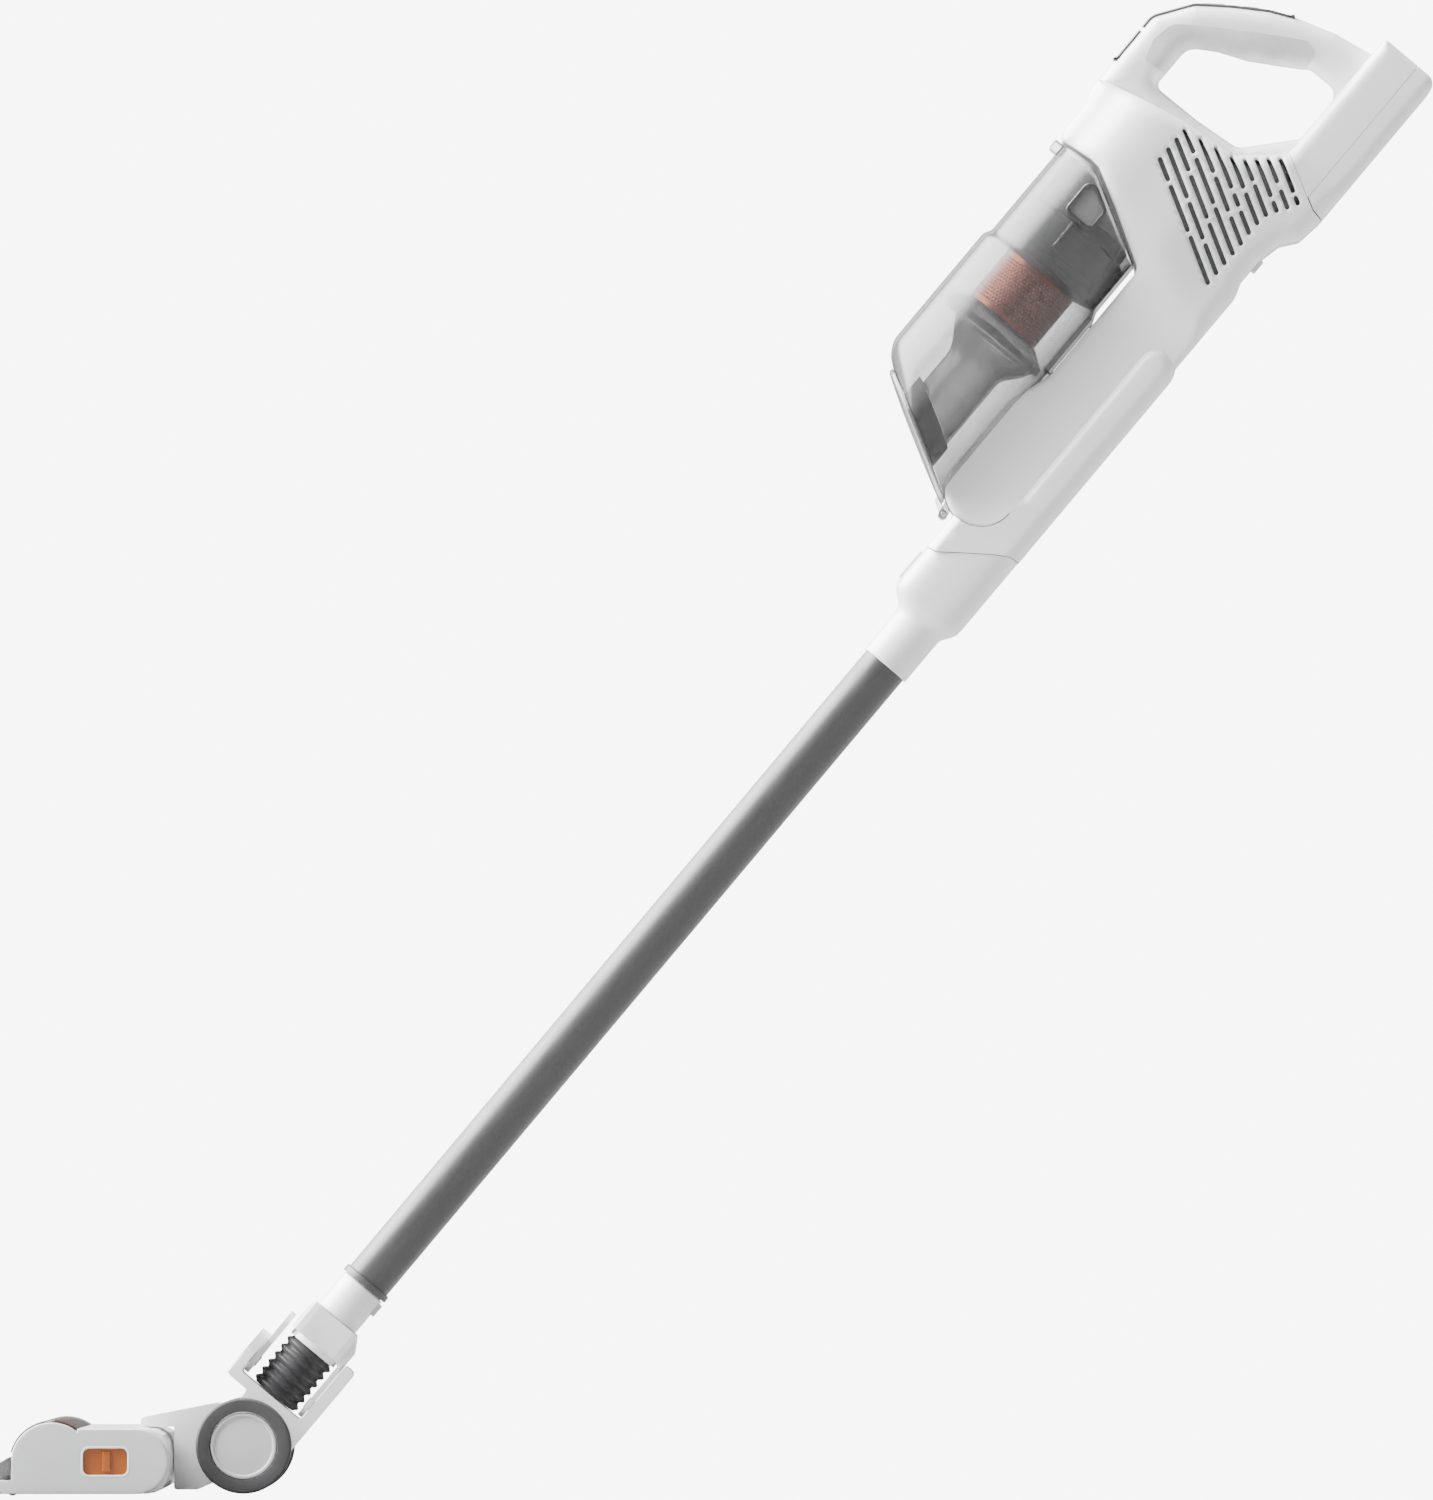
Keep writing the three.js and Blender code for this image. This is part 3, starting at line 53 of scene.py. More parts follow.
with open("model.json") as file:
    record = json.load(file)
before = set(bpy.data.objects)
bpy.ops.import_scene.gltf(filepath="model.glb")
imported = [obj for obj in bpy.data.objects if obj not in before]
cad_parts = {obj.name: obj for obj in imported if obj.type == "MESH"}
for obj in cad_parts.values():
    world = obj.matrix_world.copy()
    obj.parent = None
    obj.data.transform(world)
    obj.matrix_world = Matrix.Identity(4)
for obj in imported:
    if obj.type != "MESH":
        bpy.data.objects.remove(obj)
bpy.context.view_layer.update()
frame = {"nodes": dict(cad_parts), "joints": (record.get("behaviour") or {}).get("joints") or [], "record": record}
JOINTS = {joint["name"]: joint for joint in frame["joints"]}
COLOURS = {material["slot"]: material["base_color"] for material in frame["record"]["materials"]}
MM = 0.001
QUARTER = math.pi / 2


# ---- working places -------------------------------------------------------------------------


class Place:
    """An origin in the row frame and three axes: points in millimetres along them become row points in
    metres."""

    def __init__(self, origin, x, y, z):
        self.origin = np.array(origin, float)
        self.axes = np.array([x, y, z], float)

    def __call__(self, points):
        return self.origin + np.asarray(points, float) @ self.axes * MM

    def shifted(self, x=0.0, y=0.0, z=0.0, turned=None):
        """The same place moved along its own axes; turned gives new axes as rows in the old ones."""
        axes = self.axes if turned is None else np.array(turned, float) @ self.axes
        return Place(self([x, y, z]), *axes)


AXLE = np.array(JOINTS["pitch"]["pos_m"])
UP = -np.array(JOINTS["wand_pull"]["axis"])
BACK = np.array([UP[2], 0.0, -UP[0]])
ACROSS = np.array([0.0, 1.0, 0.0])
DOOR_PIN = (-41.5, 0.0, 54.5)
WAND_X = -7.5  # axis of the wand ahead of the wheel axle
TUBE_FOOT, TUBE_LONG = 128.5, 557.6  # lower end of the wand tube up the stick, and its length
HOSE_X, HOSE_FOOT, HOSE_TOP, HOSE_RIBS = -6.5, 36.3, 74.7, 6
BRUSH_X, BRUSH_Z, BRISTLE_REACH = -121, -10, 95.5
HEAD = Place(AXLE, (1, 0, 0), ACROSS, (0, 0, 1))
STICK = Place(AXLE, BACK, ACROSS, UP)
PIN_REACH = Place((0, 0, 0), BACK, ACROSS, UP)(DOOR_PIN)
HAND = Place(np.array(JOINTS["bin_door_swing"]["pos_m"]) - PIN_REACH, BACK, ACROSS, UP)
SIDEWAYS = ((1, 0, 0), (0, 0, -1), (0, 1, 0))  # a turned piece's own axis laid across the vacuum


# ---- lines ----------------------------------------------------------------------------------


def unit(vectors):
    return vectors / np.maximum(np.linalg.norm(vectors, axis=-1, keepdims=True), 1e-12)


def smooth(low, high, value):
    """0 below low, 1 above high and an S-curve between, 3t^2 - 2t^3."""
    t = np.clip((np.asarray(value, float) - low) / (high - low), 0, 1)
    return t * t * (3 - 2 * t)


def eased(value, knots, values, spread):
    """Straight lines through the knots, averaged over plus and minus spread so that their bends turn
    softly."""
    shifts = np.linspace(-spread, spread, 7)
    return np.mean([np.interp(value + shift, knots, values) for shift in shifts], axis=0)


def rounded(corners, steps=9):
    """Line through a corner list of (x, z) or (x, z, radius): each corner becomes the arc that touches
    both its sides, its points spread by turning the start radius into the end radius at an even rate."""
    table = np.array([(*corner, 0.0)[:3] for corner in corners], float)
    corner, radius = table[:, :2], table[:, 2:]
    before, after = unit(np.roll(corner, 1, 0) - corner), unit(np.roll(corner, -1, 0) - corner)
    half = np.arccos(np.clip((before * after).sum(1, keepdims=True), -1, 1)) / 2
    centre = corner + unit(before + after) * radius / np.maximum(np.sin(half), 1e-9)
    reach = radius * np.cos(half) / np.maximum(np.sin(half), 1e-9)
    start, end = corner + before * reach - centre, corner + after * reach - centre
    turn = math.pi - 2 * half
    t = np.linspace(0, 1, steps)[:, None, None]
    arcs = centre + (np.sin((1 - t) * turn) * start + np.sin(t * turn) * end) / np.maximum(np.sin(turn), 1e-9)
    line = arcs.transpose(1, 0, 2).reshape(-1, 2)
    return line[np.linalg.norm(line - np.roll(line, 1, 0), axis=1) > 1e-4]


def oblong(left, right, low, high, radius=0.0):
    """The corners of an upright rectangle, all with the same radius."""
    return [(left, low, radius), (right, low, radius), (right, high, radius), (left, high, radius)]


def arc(x, z, radius, start, end, count=12):
    """Corners along a circle about (x, z), from start to end in degrees from +X towards +Z."""
    angle = np.radians(np.linspace(start, end, count))
    return np.stack([x + radius * np.cos(angle), z + radius * np.sin(angle)], 1).tolist()


def finely(loop, step):
    """A closed line with each side cut into equal parts no longer than step."""
    side = np.roll(loop, -1, 0) - loop
    parts = np.maximum(np.ceil(np.linalg.norm(side, axis=1) / step).astype(int), 1)
    owner = np.repeat(np.arange(len(loop)), parts)
    share = (np.arange(parts.sum()) - np.repeat(np.cumsum(parts) - parts, parts)) / parts[owner]
    return loop[owner] + side[owner] * share[:, None]


def depth_inside(loops, points):
    """How far points lie inside closed lines: distance to the nearest side, negative outside by the
    even-odd rule."""
    start = np.concatenate(loops)
    side = np.concatenate([np.roll(loop, -1, 0) for loop in loops]) - start
    square = np.maximum((side**2).sum(1), 1e-12)
    rise = np.where(np.abs(side[:, 1]) < 1e-12, 1e-12, side[:, 1])
    depth = np.empty(len(points))
    for chunk in np.array_split(np.arange(len(points)), len(points) // 1500 + 1):
        gap = points[chunk, None] - start
        along = np.clip((gap * side).sum(-1) / square, 0, 1)
        near = np.linalg.norm(gap - along[..., None] * side, axis=-1).min(1)
        spans = (gap[..., 1] < 0) != (gap[..., 1] < side[:, 1])
        crossings = (spans & (gap[..., 0] < gap[..., 1] / rise * side[:, 0])).sum(1)
        depth[chunk] = np.where(crossings % 2 == 1, near, -near)
    return depth


# ---- surfaces -------------------------------------------------------------------------------


def net(rows, columns, close_rows=False, close_columns=True, first=0):
    """Four-sided faces of a grid of points stored row by row, joined round where it closes."""
    row = np.arange(rows if close_rows else rows - 1)[:, None]
    column = np.arange(columns if close_columns else columns - 1)[None]
    next_row, next_column = (row + 1) % rows, (column + 1) % columns
    corners = [
        row * columns + column, row * columns + next_column, next_row * columns + next_column,
        next_row * columns + column,
    ]
    return (np.stack(corners, -1).reshape(-1, 4) + first).tolist()


def gathered(*surfaces):
    """Several (points, faces) put together as one."""
    firsts = np.cumsum([0] + [len(points) for points, _ in surfaces])
    faces = [
        [[int(i) + int(first) for i in face] for face in faces] for (_, faces), first in zip(surfaces, firsts)
    ]
    return np.concatenate([points for points, _ in surfaces]), sum(faces, [])


def turned(corners, x=0.0, segments=72, steps=6, swell=None):
    """A closed profile of (radius, height) carried round the upright line at x. swell(radius, height,
    angle) is added to the radius, for ribs and treads."""
    profile = rounded(corners, steps)
    angle = np.arange(segments) / segments * 2 * math.pi
    radius, height = profile[:, :1], profile[:, 1:]
    reach = radius + (0 if swell is None else swell(radius, height, angle[None]))
    points = np.stack([x + reach * np.cos(angle), reach * np.sin(angle), height + 0 * angle * radius], -1)
    return points.reshape(-1, 3), net(len(profile), segments, close_rows=True)


def drum(rows, x, radius, low, high, segments=96):
    """An upright drum whose ends are cut by surfaces low(x) and high(x). Each row is (height share, radius
    scale, inset): a point's reach is radius(z, angle) times the scale less the inset, and its height lies
    that share between the cuts under its own x. Rows run round the wall's section and close on themselves."""
    share, scale, inset = (np.array(column, float)[:, None] for column in zip(*rows))
    angle = (np.arange(segments) / segments * 2 * math.pi)[None]
    nominal = x + radius(200.0, angle) * np.cos(angle)
    height = low(nominal) + share * (high(nominal) - low(nominal))
    reach = radius(height, angle) * scale - inset
    across = x + reach * np.cos(angle)
    height = low(across) + share * (high(across) - low(across))
    points = np.stack([across, reach * np.sin(angle), height], -1)
    return points.reshape(-1, 3), net(len(rows), segments, close_rows=True)


def walled(shares, wall, scale=1.0):
    """Rows for a drum that is a sleeve: up the outside and down the inside."""
    return [(s, scale, 0.0) for s in shares] + [(s, scale, wall) for s in shares[::-1]]


def solid_rows(shares, edge=0.0):
    """Rows for a drum that is closed by flat ends, with a softened edge."""
    ends = [0.0, 0.35, 0.7]
    rows = [(0.0, s, 0.0) for s in ends] + [(0.0, 1.0, edge)] + [(s, 1.0, 0.0) for s in shares]
    return rows + [(1.0, 1.0, edge)] + [(1.0, s, 0.0) for s in ends[::-1]]


def loft(sections):
    """Closed sections, an array of (rows, columns, 3), skinned in order and capped by a point at the
    middle of each end."""
    rows, columns = sections.shape[:2]
    ends = sections[[0, -1]].mean(1, keepdims=True)
    points = np.concatenate([np.repeat(ends[:1], columns, 1), sections, np.repeat(ends[1:], columns, 1)])
    return points.reshape(-1, 3), net(rows + 2, columns)


def swept(path, across, rise, half_width, thick, edge=0.5):
    """A flat band carried along a path of (x, z): its section is a rectangle with cut corners, half_width
    each side and thick along the path's outward normal."""
    tangent = unit(np.gradient(path, axis=0))
    normal = np.stack([-tangent[:, 1], tangent[:, 0]], 1) * rise
    side = np.array(
        [
            -half_width, -half_width + edge, half_width - edge, half_width, half_width, half_width - edge,
            -half_width + edge, -half_width,
        ]
    )
    lift = np.array([thick - edge, thick, thick, thick - edge, edge, 0, 0, edge]) + across
    place = path[:, None] + normal[:, None] * lift[None, :, None]
    return loft(np.stack([place[..., 0], side[None] + 0 * place[..., 0], place[..., 1]], -1))


BENDS = 7  # points across a fillet


def pressed(loops, slots, width, step):
    """Points, triangles and rims of a flat region: rings follow each border at the depths where its fillet
    bends, a lattice fills the middle, and a constrained net joins them and keeps borders and slots."""
    borders = [finely(loop, step * 0.5) for loop in loops]
    slots = [finely(slot, step) for slot in slots]
    inner = []
    for border in borders:
        along = unit(np.roll(border, -1, 0) - np.roll(border, 1, 0))
        inward = np.stack([-along[:, 1], along[:, 0]], 1)
        if (depth_inside(borders, border + inward * 0.05) > 0).mean() < 0.5:
            inward = -inward
        reach = width(border[:, 0], border[:, 1])[:, None] * (1 - np.cos(np.linspace(0, QUARTER, BENDS)[1:]))
        rings = border[:, None] + inward[:, None] * reach[..., None]
        deep = depth_inside(borders, rings.reshape(-1, 2)) > reach.ravel() * 0.94
        inner.append(rings.reshape(-1, 2)[deep])
    everything = np.concatenate(borders)
    low, high = everything.min(0), everything.max(0)
    lattice = np.stack(
        np.meshgrid(np.arange(low[0], high[0], step), np.arange(low[1], high[1], step)), -1
    ).reshape(-1, 2)
    clear = depth_inside(borders, lattice) > width(lattice[:, 0], lattice[:, 1]) + step * 0.4
    inner = np.concatenate([*inner, lattice[clear]])
    if slots:
        inner = inner[depth_inside(slots, inner) < -step * 0.25]
    rims, edges, first = [], [], 0
    for loop in [*borders, *slots]:
        ids = np.arange(len(loop)) + first
        rims.append(ids)
        edges.append(np.stack([ids, np.roll(ids, -1)], 1))
        first += len(loop)
    points = np.concatenate([*borders, *slots, inner])
    made = delaunay_2d_cdt(list(map(Vector, points)), np.concatenate(edges).tolist(), [], 0, 1e-5)
    flat, triangles, owners = np.array(made[0]), np.array(made[2]), made[3]
    renumbered = np.zeros(len(points), int)
    renumbered[np.concatenate(owners)] = np.repeat(np.arange(len(owners)), list(map(len, owners)))
    kept = depth_inside([*borders, *slots], flat[triangles].mean(1)) > 0
    return flat, triangles[kept], [renumbered[rim] for rim in rims], len(borders)


def number(value):
    """A plain number as a function of place; a function is passed on."""
    return value if callable(value) else lambda x, z: np.full(np.shape(x), float(value))


def moulding(
    loops, level, width, fall=None, soft=None, slots=(), step=4.0, middle=0.0, half=None, seam=0.15, lift=0.0
):
    """A moulded body seen from the side. Its face stands level(x, z) from the middle plane and drops by
    fall * (1 - sqrt(1 - (1 - d / width)^2)) at depth d inside the soft lines, an elliptic fillet; its own
    borders, where they are not soft, are plain seams. It is mirrored and closed by a wall round each
    border, or with half = -1 or 1 it is the sheet of one half, ending near the middle plane."""
    level, width = number(level), number(width)
    fall = width if fall is None else number(fall)
    lines = [finely(loop, 2.0) for loop in (soft or loops)]
    flat, triangles, rims, borders = pressed(
        loops, slots, width if soft is None else lambda x, z: width(x, z) * 0.9, step
    )
    x, z = flat.T
    depth = np.clip((depth_inside(lines, flat) + lift) / width(x, z), 0, 1)
    height = level(x, z) + lift - fall(x, z) * (1 - np.sqrt(1 - (1 - depth) ** 2))
    if half is not None:
        points, faces = [np.stack([x, half * height + middle, z], 1)], triangles.tolist()
        for rim in rims[:borders]:
            first = sum(map(len, points))
            edge = np.stack([x[rim], np.full(len(rim), half * seam + middle), z[rim]], 1)
            ids = np.arange(len(rim)) + first
            points.append(edge)
            faces += np.stack([rim, np.roll(rim, -1), np.roll(ids, -1), ids], 1).tolist()
        return np.concatenate(points), faces
    points = np.concatenate([np.stack([x, middle + s * height, z], 1) for s in (-1, 1)])
    count = len(flat)
    faces = triangles.tolist() + (triangles[:, ::-1] + count).tolist()
    for rim in rims:
        after = np.roll(rim, -1)
        faces += np.stack([rim, after, after + count, rim + count], 1).tolist()
    return points, faces


# ---- finishes -------------------------------------------------------------------------------


class Finish:
    """A node-based material in the making: its shader, its links and the object coordinates that its
    patterns read."""

    def __init__(self, name, slot=None, **sockets):
        self.material = bpy.data.materials.new(name)
        self.material.use_nodes = True
        self.nodes, self.links = self.material.node_tree.nodes, self.material.node_tree.links
        self.shader = next(node for node in self.nodes if node.type == "BSDF_PRINCIPLED")
        self.place = self.nodes.new("ShaderNodeTexCoord").outputs["Object"]
        self.material.diffuse_color = (*(COLOURS[slot][:3] if slot else (0.5, 0.5, 0.5)), 1.0)
        for socket, value in sockets.items():
            self.shader.inputs[socket.replace("_", " ")].default_value = value

    def noise(self, scale, detail=3.0, stretch=(1, 1, 1)):
        """Cloudy noise of that many spots to the metre, drawn out along the axes that stretch makes small."""
        mapping, noise = self.nodes.new("ShaderNodeMapping"), self.nodes.new("ShaderNodeTexNoise")
        mapping.inputs["Scale"].default_value = stretch
        noise.inputs["Scale"].default_value = scale
        noise.inputs["Detail"].default_value = detail
        self.links.new(self.place, mapping.inputs["Vector"])
        self.links.new(mapping.outputs["Vector"], noise.inputs["Vector"])
        return noise.outputs["Fac"]

    def ranged(self, value, low, high, start=0.3, end=0.7):
        node = self.nodes.new("ShaderNodeMapRange")
        for socket, number_in in zip(("From Min", "From Max", "To Min", "To Max"), (start, end, low, high)):
            node.inputs[socket].default_value = number_in
        self.links.new(value, node.inputs["Value"])
        return node.outputs["Result"]

    def tint(self, value, dark, light):
        """Colour that runs from dark to light with the value."""
        mix = self.nodes.new("ShaderNodeMix")
        mix.data_type = "RGBA"
        mix.inputs[6].default_value, mix.inputs[7].default_value = (*dark[:3], 1), (*light[:3], 1)
        self.links.new(value, mix.inputs[0])
        self.links.new(mix.outputs[2], self.shader.inputs["Base Color"])
        return self

    def rough(self, value, low, high):
        self.links.new(self.ranged(value, low, high), self.shader.inputs["Roughness"])
        return self

    def bump(self, value, strength, depth):
        """Raises the surface by the value, up to depth in metres."""
        node = self.nodes.new("ShaderNodeBump")
        node.inputs["Strength"].default_value = strength
        node.inputs["Distance"].default_value = depth
        self.links.new(value, node.inputs["Height"])
        self.links.new(node.outputs["Normal"], self.shader.inputs["Normal"])
        return self

    def thin_at_centre(self, facing, edge):
        """Clear plastic: little is stopped where it is seen face on and more at its edges."""
        weight = self.nodes.new("ShaderNodeLayerWeight")
        weight.inputs["Blend"].default_value = 0.35
        self.links.new(
            self.ranged(weight.outputs["Facing"], facing, edge, 0.0, 1.0), self.shader.inputs["Alpha"]
        )
        return self


def shade(colour, factor):
    return [min(channel * factor, 1.0) for channel in colour[:3]]


def moulded_plastic(name, slot, colour, roughness, vary=0.03, grain=0.00002, coat=0.0):
    """Injection-moulded plastic: a little flow shading, a fine moulded grain and uneven gloss with
    handling marks."""
    made = Finish(name, slot, Coat_Weight=coat)
    flow = made.noise(14, 2.0)
    marks = made.noise(60, 6.0, (1, 1, 0.15))
    made.tint(made.ranged(flow, 0, 1), shade(colour, 1 - vary), shade(colour, 1 + vary))
    made.rough(marks, roughness * 0.85, roughness * 1.2)
    return made.bump(made.noise(1500, 1.0), 0.15, grain).material


def clear_plastic(name, slot, colour, facing, edge, roughness=0.06):
    """Tinted clear plastic with faint flow lines from moulding."""
    made = Finish(name, slot, Specular_IOR_Level=0.6)
    flow = made.noise(25, 2.0, (1, 1, 0.3))
    made.tint(made.ranged(flow, 0, 1), shade(colour, 0.88), shade(colour, 1.1))
    made.rough(flow, roughness * 0.7, roughness * 1.5).bump(made.noise(120, 1.0), 0.08, 0.00006)
    return made.thin_at_centre(facing, edge).material


def rubber(name, slot, colour, roughness=0.62):
    """Matt rubber: dusty patches over a pebbled skin."""
    made = Finish(name, slot, Sheen_Weight=0.15)
    dust = made.noise(45, 5.0)
    made.tint(made.ranged(dust, 0, 1), shade(colour, 0.86), shade(colour, 1.16))
    made.rough(dust, roughness * 0.9, min(roughness * 1.2, 1))
    return made.bump(made.noise(2200, 2.0), 0.4, 0.00006).material


def drawn_metal(name, slot, colour, roughness, metallic, stretch):
    """Drawn or brushed metal: fine lines along its length and cloudy gloss."""
    made = Finish(name, slot, Metallic=metallic)
    lines, cloud = made.noise(900, 2.0, stretch), made.noise(30, 4.0)
    made.tint(made.ranged(lines, 0, 1), shade(colour, 0.9), shade(colour, 1.1))
    return made.rough(cloud, roughness * 0.8, roughness * 1.25).bump(lines, 0.12, 0.00003).material


def open_foam(name, slot, colour):
    """Open-cell foam: a cell pattern whose pore centres, sunk by the bump, are painted darker than the cell walls
    as painted shade in the hollows, and a soft matt body.
    """
    made = Finish(name, slot, Sheen_Weight=0.3)
    cells = made.nodes.new("ShaderNodeTexVoronoi")
    cells.inputs["Scale"].default_value = 700
    made.links.new(made.place, cells.inputs["Vector"])
    pore_shade_and_depth = cells.outputs["Distance"]
    # Painted shade: the tint runs from dark at the pore centres to light on the cell walls.
    made.tint(made.ranged(pore_shade_and_depth, 0, 1, 0.1, 0.7), shade(colour, 0.45), shade(colour, 1.6))
    return made.rough(pore_shade_and_depth, 0.85, 0.98).bump(pore_shade_and_depth, 0.8, 0.0004).material


def bristles(name, slot, colour):
    """Nylon bristle seen side on: fine strands that run out from the core and catch the light in turns."""
    made = Finish(name, slot, Sheen_Weight=0.4)
    strands = made.noise(2500, 2.0, (0.1, 1, 0.1))
    made.tint(made.ranged(strands, 0, 1), shade(colour, 0.4), shade(colour, 2.4))
    return made.rough(strands, 0.45, 0.8).bump(strands, 0.9, 0.0004).material


def cell_sleeve(name, slot, colour):
    """Shrink sleeve over a cell: glossy film with shallow shrink ripples."""
    made = Finish(name, slot)
    ripple = made.noise(80, 3.0)
    made.tint(made.ranged(ripple, 0, 1), shade(colour, 0.85), shade(colour, 1.2))
    return made.rough(ripple, 0.25, 0.45).bump(ripple, 0.3, 0.0002).material


def circuit(name, slot, colour):
    """Solder resist over copper: paler tracks from a brick grid under a glossy green skin."""
    made = Finish(name, slot)
    grid = made.nodes.new("ShaderNodeTexBrick")
    grid.inputs["Scale"].default_value = 180
    made.links.new(made.place, grid.inputs["Vector"])
    made.tint(grid.outputs["Fac"], colour, shade(colour, 1.7))
    return made.rough(made.noise(200), 0.3, 0.45).bump(grid.outputs["Fac"], 0.3, 0.0001).material


FINISHES = {}


def mix_finishes(colours):
    """Every finish of the vacuum, by the record's slot names and a few of this model's own."""
    white, grey = colours.casing, colours.panel
    FINISHES.update(
        white_gloss=moulded_plastic("white_gloss", "white_gloss", white, 0.22, 0.012, coat=0.25),
        panel_grey=moulded_plastic("panel_grey", "panel_grey", grey, 0.36, 0.02),
        soft_grey=moulded_plastic("soft_grey", "soft_grey", colours.button, 0.45, 0.03, 0.00004),
        grip=rubber("grip", "grip", colours.grip, 0.5),
        dark_plastic=moulded_plastic("dark_plastic", "dark_plastic", colours.strip, 0.4, 0.06, 0.00004),
        # Painted shade: the dark finish of the sheet that stands for the shade seen through the casing's vent
        # slots.
        vent_dark=moulded_plastic("vent_dark", None, shade(colours.strip, 1.35), 0.55, 0.1, 0.0001),
        tyre=rubber("tyre", "tyre", colours.tyre),
        hub=moulded_plastic("hub", "hub", colours.hub, 0.34, 0.03),
        black_rubber=rubber("black_rubber", "black_rubber", colours.hose, 0.5),
        bristle=bristles("bristle", "bristle", COLOURS["bristle"]),
        wand_tube=moulded_plastic("wand_tube", "wand_tube", colours.tube, 0.38, 0.05, 0.000003, 0.15),
        steel=drawn_metal("steel", "steel", COLOURS["steel"], 0.28, 1.0, (1, 0.04, 1)),
        mesh=drawn_metal("mesh", "mesh", colours.screen, 0.3, 0.6, (1, 1, 0.3)),
        smoke=clear_plastic("smoke", "smoke", shade(colours.smoke, 0.35), colours.smoke[3] * 0.75, 0.97),
        flange=clear_plastic("flange", "smoke", shade(colours.smoke, 0.35), 0.55, 0.95, 0.12),
        holder=clear_plastic("holder", "soft_grey", shade(colours.smoke, 0.6), 0.85, 1.0, 0.3),
        lens=clear_plastic("lens", "lens", colours.lens, colours.lens[3], 0.95),
        brush_window=clear_plastic("brush_window", "brush_window", colours.window, colours.window[3], 0.95),
        orange=moulded_plastic("orange", "orange", colours.latch, 0.3, 0.06, coat=0.3),
        foam=open_foam("foam", "foam", COLOURS["foam"]),
        cells=cell_sleeve("cells", "cells", COLOURS["cells"]),
        board=circuit("board", "board", COLOURS["board"]),
    )


# ---- pieces ---------------------------------------------------------------------------------


def add_piece(name, body, finish, place, surface, stands_for=(), crease=38, ride=True):
    """Puts a surface into the scene as one piece on a body: welds its seams and poles, turns its faces
    outwards, shades it smooth up to the crease angle and gives it its finish. A surface may be a list, one
    finish for each part."""
    parts, finishes = (surface, finish) if isinstance(finish, (list, tuple)) else ([surface], [finish])
    points, faces = gathered(*parts)
    mesh = bpy.data.meshes.new(name)
    mesh.from_pydata(place(points).tolist(), [], faces)
    mesh.polygons.foreach_set(
        "material_index", np.repeat(np.arange(len(parts)), [len(part[1]) for part in parts])
    )
    shape = bmesh.new()
    shape.from_mesh(mesh)
    bmesh.ops.remove_doubles(shape, verts=shape.verts, dist=2e-6)
    bmesh.ops.dissolve_degenerate(shape, edges=shape.edges, dist=1e-6)
    bmesh.ops.recalc_face_normals(shape, faces=shape.faces)
    shape.to_mesh(mesh)
    shape.free()
    return settle(name, mesh, body, finishes, stands_for, crease, ride)


def settle(name, mesh, body, finishes, stands_for, crease=38, ride=True):
    """Gives a finished mesh its shading, materials and body, and hides the nodes it stands for."""
    mesh.polygons.foreach_set("use_smooth", np.ones(len(mesh.polygons), bool))
    mesh.set_sharp_from_angle(angle=math.radians(crease))
    for finish in finishes:
        mesh.materials.append(FINISHES[finish])
    made = bpy.data.objects.new(name, mesh)
    bpy.context.scene.collection.objects.link(made)
    if ride:
        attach(made, body)
    if stands_for:
        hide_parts(*stands_for)
    return made


def eased_copy(node, body, finish, edge=0.6, crease=30, name=None):
    """A merged copy of a frame node whose hard edges get a small round, and which then stands for it."""
    mesh = frame["nodes"][node].data.copy()
    mesh.materials.clear()
    shape = bmesh.new()
    shape.from_mesh(mesh)
    bmesh.ops.remove_doubles(shape, verts=shape.verts, dist=1e-6)
    bmesh.ops.dissolve_limit(shape, angle_limit=math.radians(2), verts=shape.verts, edges=shape.edges)
    bmesh.ops.recalc_face_normals(shape, faces=shape.faces)
    shape.to_mesh(mesh)
    shape.free()
    made = settle(name or node + "_finished", mesh, body, [finish], [node], crease)
    if edge:
        bevel = made.modifiers.new("edge", "BEVEL")
        bevel.width, bevel.segments, bevel.angle_limit = edge * MM, 3, math.radians(crease)
        bevel.limit_method, bevel.harden_normals, bevel.use_clamp_overlap = "ANGLE", True, True
    return made


def wall_in(piece, thick):
    """Gives an open sheet its wall, inwards."""
    solid = piece.modifiers.new("wall", "SOLIDIFY")
    solid.thickness, solid.offset, solid.use_even_offset = thick * MM, -1, False


def mm(length):
    return length / MM


# ---- hand unit: shared lines ------------------------------------------------------------------

BIN_X, BIN_R, UPPER_R, FRONT = -93.0, 46.5, 43.5, -139.5
FOOT = (-32.4, 82.0, 23.6)  # the casing's round lower end
PARTING = [(-36, 31), (-29, 32), (-20, 39), (0, 54), (10, 60), (16.5, 61)]

BIN_EDGE = [
    (-142, 318, 3), (-142, 296, 3), (-138, 290.5), (-115, 292), (-108, 291, 6), (-46.2, 257, 8),
    (-46.2, 168, 8), (-56, 138, 8),
]
TOP_EDGE = [(-45, 355, 10), (-80, 351), (-135, 340), (-146.5, 337, 2), (-146, 328, 6)]
ARM_SEAM = [(24.5, 358), (16, 359), (8, 363), (-20, 378)]
BACK_EDGE = [(13.5, 82), (13.5, 285, 6), (10, 295), (10, 312, 6), (14, 330, 6), (22, 340, 6)]
CASING = rounded([(-56, 86), *arc(*FOOT, 180, 360, 24), *BACK_EDGE, *ARM_SEAM, *TOP_EDGE, *BIN_EDGE])
SILHOUETTE = rounded(
    [
        (-56, 86), *arc(*FOOT, 180, 360, 24), *BACK_EDGE, (24.5, 358), (24.5, 476, 8), (-20, 476, 3),
        (-20, 378, 9), *TOP_EDGE, *BIN_EDGE,
    ]
)
